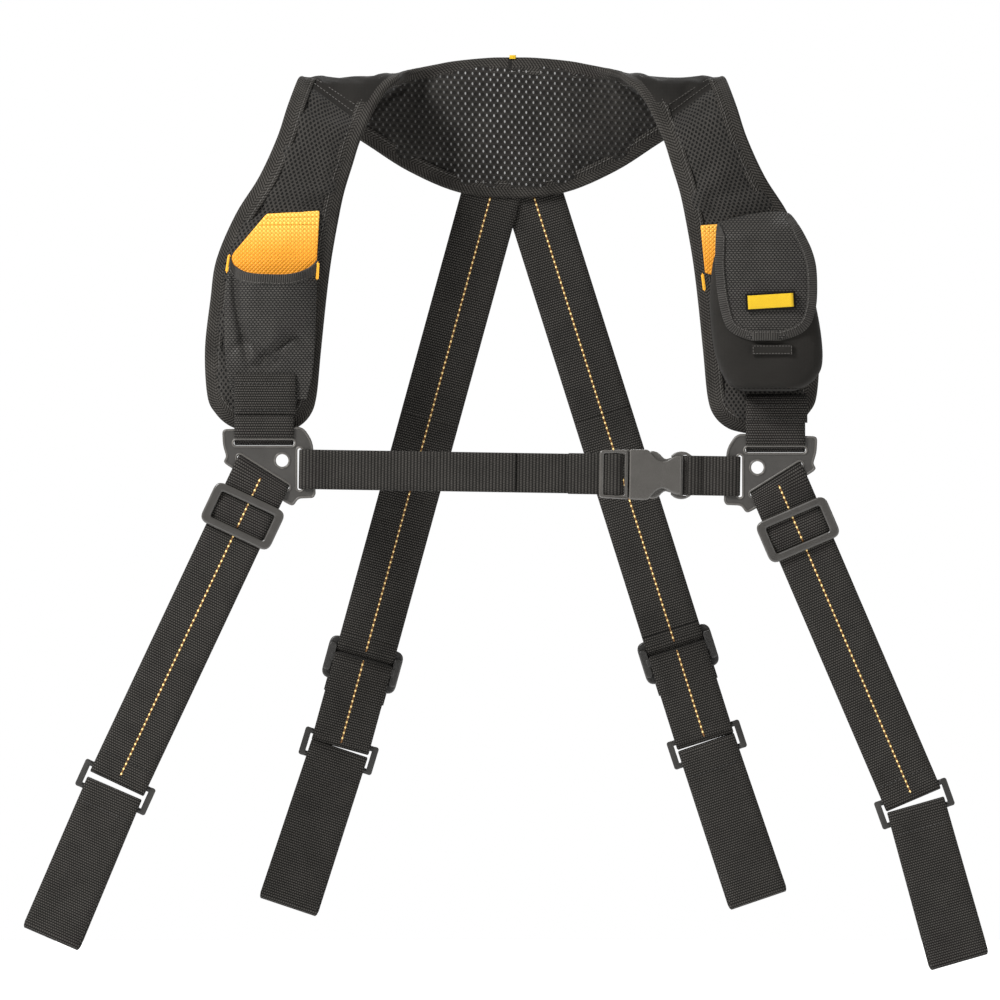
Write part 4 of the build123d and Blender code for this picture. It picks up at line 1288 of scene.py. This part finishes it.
def bartack(name, start, end):
    """A dense bright bar of zigzag stitches on the yoke."""
    path = [Vector(start).lerp(Vector(end), k / 20) for k in range(21)]
    bar = stitches(name, path, FRONT, "orange", *SEAMS["bartack"])
    core = sweep(name + "_core", path, FRONT.cross(path[-1] - path[0]), rounded_section(2.0, 0.7, 0.3), "orange")
    finish_piece(bar, "yoke", "yellow_trim")
    finish_piece(core, "yoke", "yellow_trim")


def backing(side):
    """The bright cloth panel behind a pocket, with its folded top hem."""
    high = low_high(f"pocket_backing_{side}")[1]
    corners, corner_low = BACKINGS[side]

    def place(s, t):
        spot = bilinear(corners, s, t)
        if corner_low:
            # the left edge runs down to a low corner and then straight down
            turn, low = 0.45, Vector(corner_low)
            edge = (Vector(corners[0]).lerp(low, t / turn) if t < turn
                    else low.lerp(Vector(corners[3]), (t - turn) / (1 - turn)))
            spot = edge.lerp(Vector(corners[1]).lerp(Vector(corners[2]), t), s)
        y = high.y - 1.4 - 1.5 * math.sin(math.pi * s) * math.sin(math.pi * min(1, t * 1.3)) ** 0.5
        y -= 0.4 * noise.noise(Vector((spot.x, 0, spot.y)) * 0.08)
        return Vector((spot.x, y, spot.y))

    cloth = patch(f"pocket_backing_{side}_cloth", 22, 22, place, "yellow", 0.9)
    finish_piece(cloth, "yoke", "yellow_fabric", f"pocket_backing_{side}")
    for number, t in ((1, 0.05), (2, 0.12)):
        row = lifted([place(k / 30, t) for k in range(1, 30)], 0.6)
        sew(f"pocket_backing_{side}_stitches_{number}", row, FRONT, "orange", "yoke", "yellow_fabric", "backing")


# each backing's corners (x, z) from the top left, and the corner part of the way down its left edge
BACKINGS = {"left": ([(-157.0, -81.0), (-123.0, -79.0), (-127.0, -150.0), (-181.0, -150.0)], (-179.5, -107.5)),
            "right": ([(120.5, -88.5), (147.0, -86.5), (152.0, -128.0), (123.5, -119.0)], None)}
# the open pocket's side edges, from its mouth down: z, left x, right x
PEN_ROWS = [(-109.0, -180.5, -124.6), (-122.0, -182.4, -124.8), (-135.0, -183.8, -125.2), (-150.0, -184.2, -125.6),
            (-165.0, -184.0, -126.2), (-180.0, -182.8, -127.4), (-190.0, -181.0, -129.0), (-200.0, -178.0, -131.5)]


def pen_pocket():
    """An open pocket of coarse weave: its mouth sags forward, its lower part is folded onto the pad."""
    low, high = low_high("pen_pocket")
    patch_low, patch_high = low_high("anchor_patch_left")
    under = (patch_low.y + patch_high.y) / 2 - 0.4
    levels = [Vector(row) for row in PEN_ROWS]

    def place(s, t):
        z, left, right = catmull(levels, t * (len(levels) - 1))
        x = left + (right - left) * s
        z -= 2.5 * s * (1 - t) + 10.6 * (1 - abs(2 * s ** 0.8 - 1) ** 3) ** 0.8 * (1 - ease(t * 1.6))
        belly = math.sin(math.pi * s) ** 0.75
        depth = 1.2 + 13.5 * belly * (1 - 0.70 * ease(t * 1.1))
        spot = Vector((x, 0, z))
        # a long crease from the mouth's left end, and folds that gather towards the webbing's top corners
        crease = (s - 0.05 - 0.30 * t) / 0.05
        depth -= 5.5 * math.exp(-crease * crease) * (1 - ease((t - 0.55) / 0.25))
        for lean, level, size in ((0.9, 0.50, 4.0), (-0.9, 0.53, 4.5), (0.4, 0.64, 3.2), (-0.5, 0.68, 3.2)):
            fold = (t - level - 0.22 * abs(2 * s - 1 - lean * 0.6)) / 0.030
            depth -= size * math.exp(-fold * fold) * belly
        depth += 2.6 * noise.noise(spot * 0.06) * belly
        y = high.y - max(depth, 0.6)
        # its lower end lies flat under the webbing
        return Vector((x, y + (under - y) * ease((-z - 172) / 12), z))

    cloth = patch("pen_pocket_cloth", 34, 44, place, "ballistic", 1.2)
    finish_piece(cloth, "yoke", "ballistic_fabric", "pen_pocket")
    # its belly, its fold at the mouth and its end under the webbing
    edge = lifted([place(k / 40, 0) for k in range(41)], 0.2)
    tape("pen_pocket_mouth", edge, [place(k / 40, 0.06) for k in range(41)], 7.0, "yoke")
    first, last = edge[0], edge[-1]
    bartack("pen_pocket_tack_left", first + Vector((-0.4, 0.4, 1.2)), first + Vector((-2.0, 0.4, -9.0)))
    bartack("pen_pocket_tack_right", last + Vector((0.4, -1.9, -1.2)), last + Vector((-0.1, -1.9, -11.4)))


# the pouch's side edges, from its top down: z, left x, right x
POUCH_ROWS = [(-95.0, 136.0, 183.0), (-108.0, 129.5, 189.5), (-122.0, 127.2, 192.5), (-137.0, 126.3, 194.0),
              (-150.0, 127.0, 196.5), (-162.0, 128.2, 198.2), (-173.0, 130.4, 198.8), (-181.0, 133.2, 197.6),
              (-187.5, 136.6, 193.4), (-192.0, 141.0, 187.0), (-195.0, 148.0, 179.0)]


def phone_tack():
    """The bright bar that holds the backing's lower corner beside the phone pouch."""
    y = low_high("pocket_backing_right")[1].y - 3.4
    bartack("backing_tack_right", (121.9, y, -120.0), (123.2, y, -130.0))


def phone_pouch():
    """A deep pouch of smooth fabric with rounded front corners and a rounded lower end."""
    low, high = low_high("phone_pouch")
    width, depth, height = high - low
    levels = [Vector(row) for row in POUCH_ROWS]

    def place(s, t):
        # s runs round the front from one side to the other; t from the top down
        power = 0.42
        cx, sx = math.cos(math.pi * s), math.sin(math.pi * s)
        z, left, right = catmull(levels, t * (len(levels) - 1))
        x = (left + right) / 2 - (right - left) / 2 * math.copysign(abs(cx) ** power, cx)
        low_turn = math.sqrt(max(0.0, 1 - max(0.0, (t - 0.86) / 0.14) ** 2))
        y = high.y - depth * abs(sx) ** power * (0.25 + 0.75 * low_turn) * (0.93 + 0.07 * math.sin(math.pi * t))
        swell = 0.9 * noise.noise(Vector((x, y, z)) * 0.045)
        return Vector((x, min(high.y - 0.3, y - swell), z))

    cloth = patch("phone_pouch_cloth", 44, 36, place, "smooth", 1.3, offset=-1)
    finish_piece(cloth, "yoke", "plain_fabric", "phone_pouch")
    foot = lifted([place(k / 60, 0.93) for k in range(6, 55)], 0.4)
    sew("phone_pouch_stitches", foot, (0, -1, -0.5), "smooth", "yoke", "plain_fabric", "pouch")

    low, high = low_high("pouch_tab")
    path = [Vector((low.x - 1 + k, low.y - 0.2, (low.z + high.z) / 2)) for k in range(int(high.x - low.x) + 3)]
    strip = sweep("pouch_tab_strip", path, Vector((0, 0, 1)), rounded_section(high.z - low.z, 1.0, 0.4), "smooth")
    finish_piece(strip, "yoke", "ballistic_fabric", "pouch_tab")
    top, bottom = high.z - 0.9, low.z + 0.9
    corners = [Vector((x, low.y - 0.8, z)) for x, z in ((low.x, top), (high.x, top), (high.x, bottom), (low.x, bottom))]
    outline = [a.lerp(b, k / 10) for a, b in zip(corners, corners[1:] + corners[:1]) for k in range(10)]
    sew("pouch_tab_stitches", outline + outline[:1], FRONT, "thread", "yoke", "ballistic_fabric", "tab")


# the flap's side edges, from its hinge down: z, left x, right x
FLAP_ROWS = [(-82.5, 133.5, 173.5), (-85.0, 131.8, 178.0), (-89.0, 131.4, 181.5), (-96.6, 131.0, 186.5),
             (-105.6, 130.7, 191.0), (-115.8, 130.6, 193.6), (-130.6, 132.0, 194.2), (-142.0, 134.0, 193.2),
             (-152.3, 137.3, 189.4), (-158.0, 143.4, 182.3), (-161.6, 153.6, 170.9)]


def flap():
    """The pouch's cover of coarse weave: out from the pad, rounded over the pouch's top and down its front."""
    low, high = low_high("pouch_flap")
    hinge_y, front_y = high.y, low.y + 0.9
    levels = [Vector(row) for row in FLAP_ROWS]

    def place(s, t):
        z, left, right = catmull(levels, t * (len(levels) - 1))
        x = left + (right - left) * s
        share = ease((-z - 80.5) / 15)
        y = hinge_y - 2.0 + (front_y - hinge_y + 2.0) * share ** 0.8
        edge = abs(2 * s - 1)
        y += 2.6 * edge ** 4 * share
        # the top edge rises towards the shoulder
        z_bulge = (1.6 * (1 - edge ** 2) + 7.0 * (s - 0.62)) * (1 - ease(t / 0.5))
        ripple = 0.6 * noise.noise(Vector((x, 0, z)) * 0.06)
        return Vector((x, y - ripple * share - 0.8 * (1 - edge ** 2) * share, z + z_bulge))

    hinge = joint_at("flap_open")
    bend = ("yoke", "flap"), hinge + Vector((0, 0.5, 1)), hinge + Vector((0, -7, -2.5))
    cloth = patch("pouch_flap_cloth", 32, 44, place, "ballistic", 1.8)
    bent(cloth, "ballistic_fabric", *bend, "pouch_flap")
    edge = ([(0, t / 40) for t in range(3, 40)] + [(k / 12, 1) for k in range(13)]
            + [(1, t / 40) for t in range(39, 2, -1)])
    path = spline([place(*at) for at in edge], 1.4)
    heart = Vector((163, 0, -118))

    def face_at(x, z):
        t = min(range(101), key=lambda k: abs(place(0.5, k / 100).z - z)) / 100
        row = catmull(levels, t * (len(levels) - 1))
        return Vector((x, place(min(max((x - row.y) / (row.z - row.y), 0), 1), t).y, z))

    inside = []
    for i, point in enumerate(path):
        run = path[min(i + 1, len(path) - 1)] - path[max(i - 1, 0)]
        inward = Vector((run.z, 0, -run.x)).normalized()
        if inward.dot(heart - point) < 0:
            inward = -inward
        spot = point + inward * 5.5
        inside.append(face_at(spot.x, spot.z))
    tape("pouch_flap_binding", lifted(path, 0.9), lifted(inside, 0.9), 6.6, bend, 2.6)

    low, high = low_high("flap_label")
    mid = (low + high) / 2
    width, height = high.x - low.x + 1.5, high.z - low.z + 0.6
    tilt = math.radians(3.5)
    across = Vector((math.cos(tilt), 0, math.sin(tilt)))
    # the label lies on the flap's own face
    share_t = min((abs(place(0.5, t / 100).z - mid.z), t / 100) for t in range(40, 100))[1]
    face_y = place(0.5, share_t).y - 1.0
    for name, less, lift, look, nodes in (("flap_label_border", 0.0, 1.75, "shade", []),
                                          ("flap_label_patch", 2.8, 2.15, "label", ["flap_label"])):
        path = [Vector((mid.x, face_y - lift, mid.z)) + across * ((width - less) * (k / 16 - 0.5)) for k in range(17)]
        made = sweep(name, path, Vector((-across.z, 0, across.x)), rounded_section(height - less, 0.9, 0.4), look)
        finish_piece(made, "flap", "yellow_trim", *nodes)


def anchor_webbing(side):
    """The webbing from a pad through a plate's top slot: a sewn layer, and its wrap round the slot."""
    low, high = low_high(f"anchor_patch_{side}")
    y0, swing = centre(f"plate_{side}").y, joint_at(f"plate_{side}_swing").z
    slot = low_high(f"anchor_loop_{side}")[0].z + 2.4
    x, face = (low.x + high.x) / 2, (low.y + high.y) / 2 - 1.2
    top = high.z + (0 if side == "left" else 1)

    def path_of(points, step, aside=0.0):
        return [p + RIGHT * aside for p in spline([Vector((x, y, z)) for y, z in points], step)]

    path = path_of([(face + 1.2, top + 2), (face, top - 4), (face - 0.2, swing + 8), (y0 - 2.3, swing - 1),
                    (y0 - 2.8, slot + 6), (y0 - 2.4, slot + 2.6), (y0 - 0.9, slot + 0.9), (y0 + 0.9, slot - 1.3),
                    (y0 + 2.4, slot - 2.7), (y0 + 3.2, slot - 1.2), (y0 + 2.8, slot + 3.5), (y0 + 2.4, swing - 3),
                    (y0 + 2.0, swing + 3)], 1.8)
    bent(web(f"anchor_webbing_{side}", path, RIGHT), "webbing", ("yoke", f"{side}_plate"), Vector((x, y0, swing + 3)),
         Vector((x, y0, swing - 3)), f"anchor_patch_{side}", f"anchor_loop_{side}")
    # a short upper layer, a little wider and askew
    lower = top - (24.8 if side == "left" else 16)
    over = path_of([(face - 0.4, top + 1), (face - 1.9, top - 4), (face - 2.0, (top + lower) / 2),
                    (face - 1.8, lower)], 2.0, 0.8)
    finish_piece(web(f"anchor_webbing_{side}_upper", over, RIGHT, 1.2), "yoke", "webbing")
    for number, z in ((1, top - 5), (2, lower + 3)):
        row = [Vector((x + dx, face - 2.95, z)) for dx in range(-16, 18, 2)]
        sew(f"anchor_stitches_{side}_{number}", row, FRONT, "rail", "yoke", "webbing", "anchor")


# ---- floor, lights and camera ----

def studio():
    """A pale floor, a dim surround with a white backdrop, and three soft lights."""
    low, high = CAD_BOX
    bpy.ops.mesh.primitive_circle_add(vertices=64, radius=1.6, fill_type="NGON", location=(0, 0, low.z - 0.004))
    floor = bpy.context.object
    floor.name = "floor"
    pale = Look("floor", 0.9, 0.1)
    for key, value in (("Base Color", (0.9, 0.9, 0.9, 1)), ("Emission Color", (1, 1, 1, 1)),
                       ("Emission Strength", 0.35)):
        pale.shader.inputs[key].default_value = value
    floor.data.materials.append(pale.mat)
    world = bpy.data.worlds.new("pale")
    world.use_nodes = True
    tree = world.node_tree
    backdrop = tree.nodes["Background"]
    backdrop.inputs["Color"].default_value = (1, 1, 1, 1)
    # the object is lit by a dimmer surround than the white that the picture shows behind it
    soft = tree.nodes.new("ShaderNodeBackground")
    soft.inputs["Color"].default_value = (1, 0.985, 0.96, 1)
    soft.inputs["Strength"].default_value = 0.27
    share, path = tree.nodes.new("ShaderNodeMixShader"), tree.nodes.new("ShaderNodeLightPath")
    for output, socket in ((path.outputs["Is Camera Ray"], share.inputs[0]), (soft.outputs[0], share.inputs[1]),
                           (backdrop.outputs[0], share.inputs[2]),
                           (share.outputs[0], tree.nodes["World Output"].inputs[0])):
        tree.links.new(output, socket)
    bpy.context.scene.world = world
    middle = (low + high) / 2
    for name, place, size, power in (("key", (-1.5, -1.3, 1.7), 0.7, 105), ("fill", (1.8, -1.6, 0.4), 1.4, 14),
                                     ("back", (0.4, 2.2, 1.2), 1.5, 30)):
        lamp = bpy.data.lights.new(name, "AREA")
        lamp.energy, lamp.size = power, size
        light = bpy.data.objects.new(name, lamp)
        bpy.context.scene.collection.objects.link(light)
        light.location = middle + Vector(place)
        light.rotation_euler = (middle - light.location).to_track_quat("-Z", "Y").to_euler()
    view = bpy.context.scene.view_settings
    view.view_transform, view.look = "Standard", "None"


def camera():
    """A long lens straight in front; the picture is 640 mm wide at the object's middle."""
    shown, distance, sensor = 0.640, 20.0, 36
    aim_x, near_y, aim_z = -0.0077, -0.045, -0.2643
    data = bpy.data.cameras.new("camera")
    data.sensor_width = sensor
    data.lens = sensor * distance / shown
    data.clip_end = 100
    eye = bpy.data.objects.new("camera", data)
    bpy.context.scene.collection.objects.link(eye)
    eye.location = (aim_x, near_y - distance, aim_z)
    eye.rotation_euler = (math.radians(90), 0, 0)
    bpy.context.scene.camera = eye


camera()
studio()
hard_pieces()
yoke()
for side in ("left", "right"):
    backing(side)
    anchor_webbing(side)
    front_strap(side)
    rear_strap(side)
pen_pocket()
phone_pouch()
phone_tack()
flap()
for name in STRAPS:
    belt_loop(name)
chest_straps()
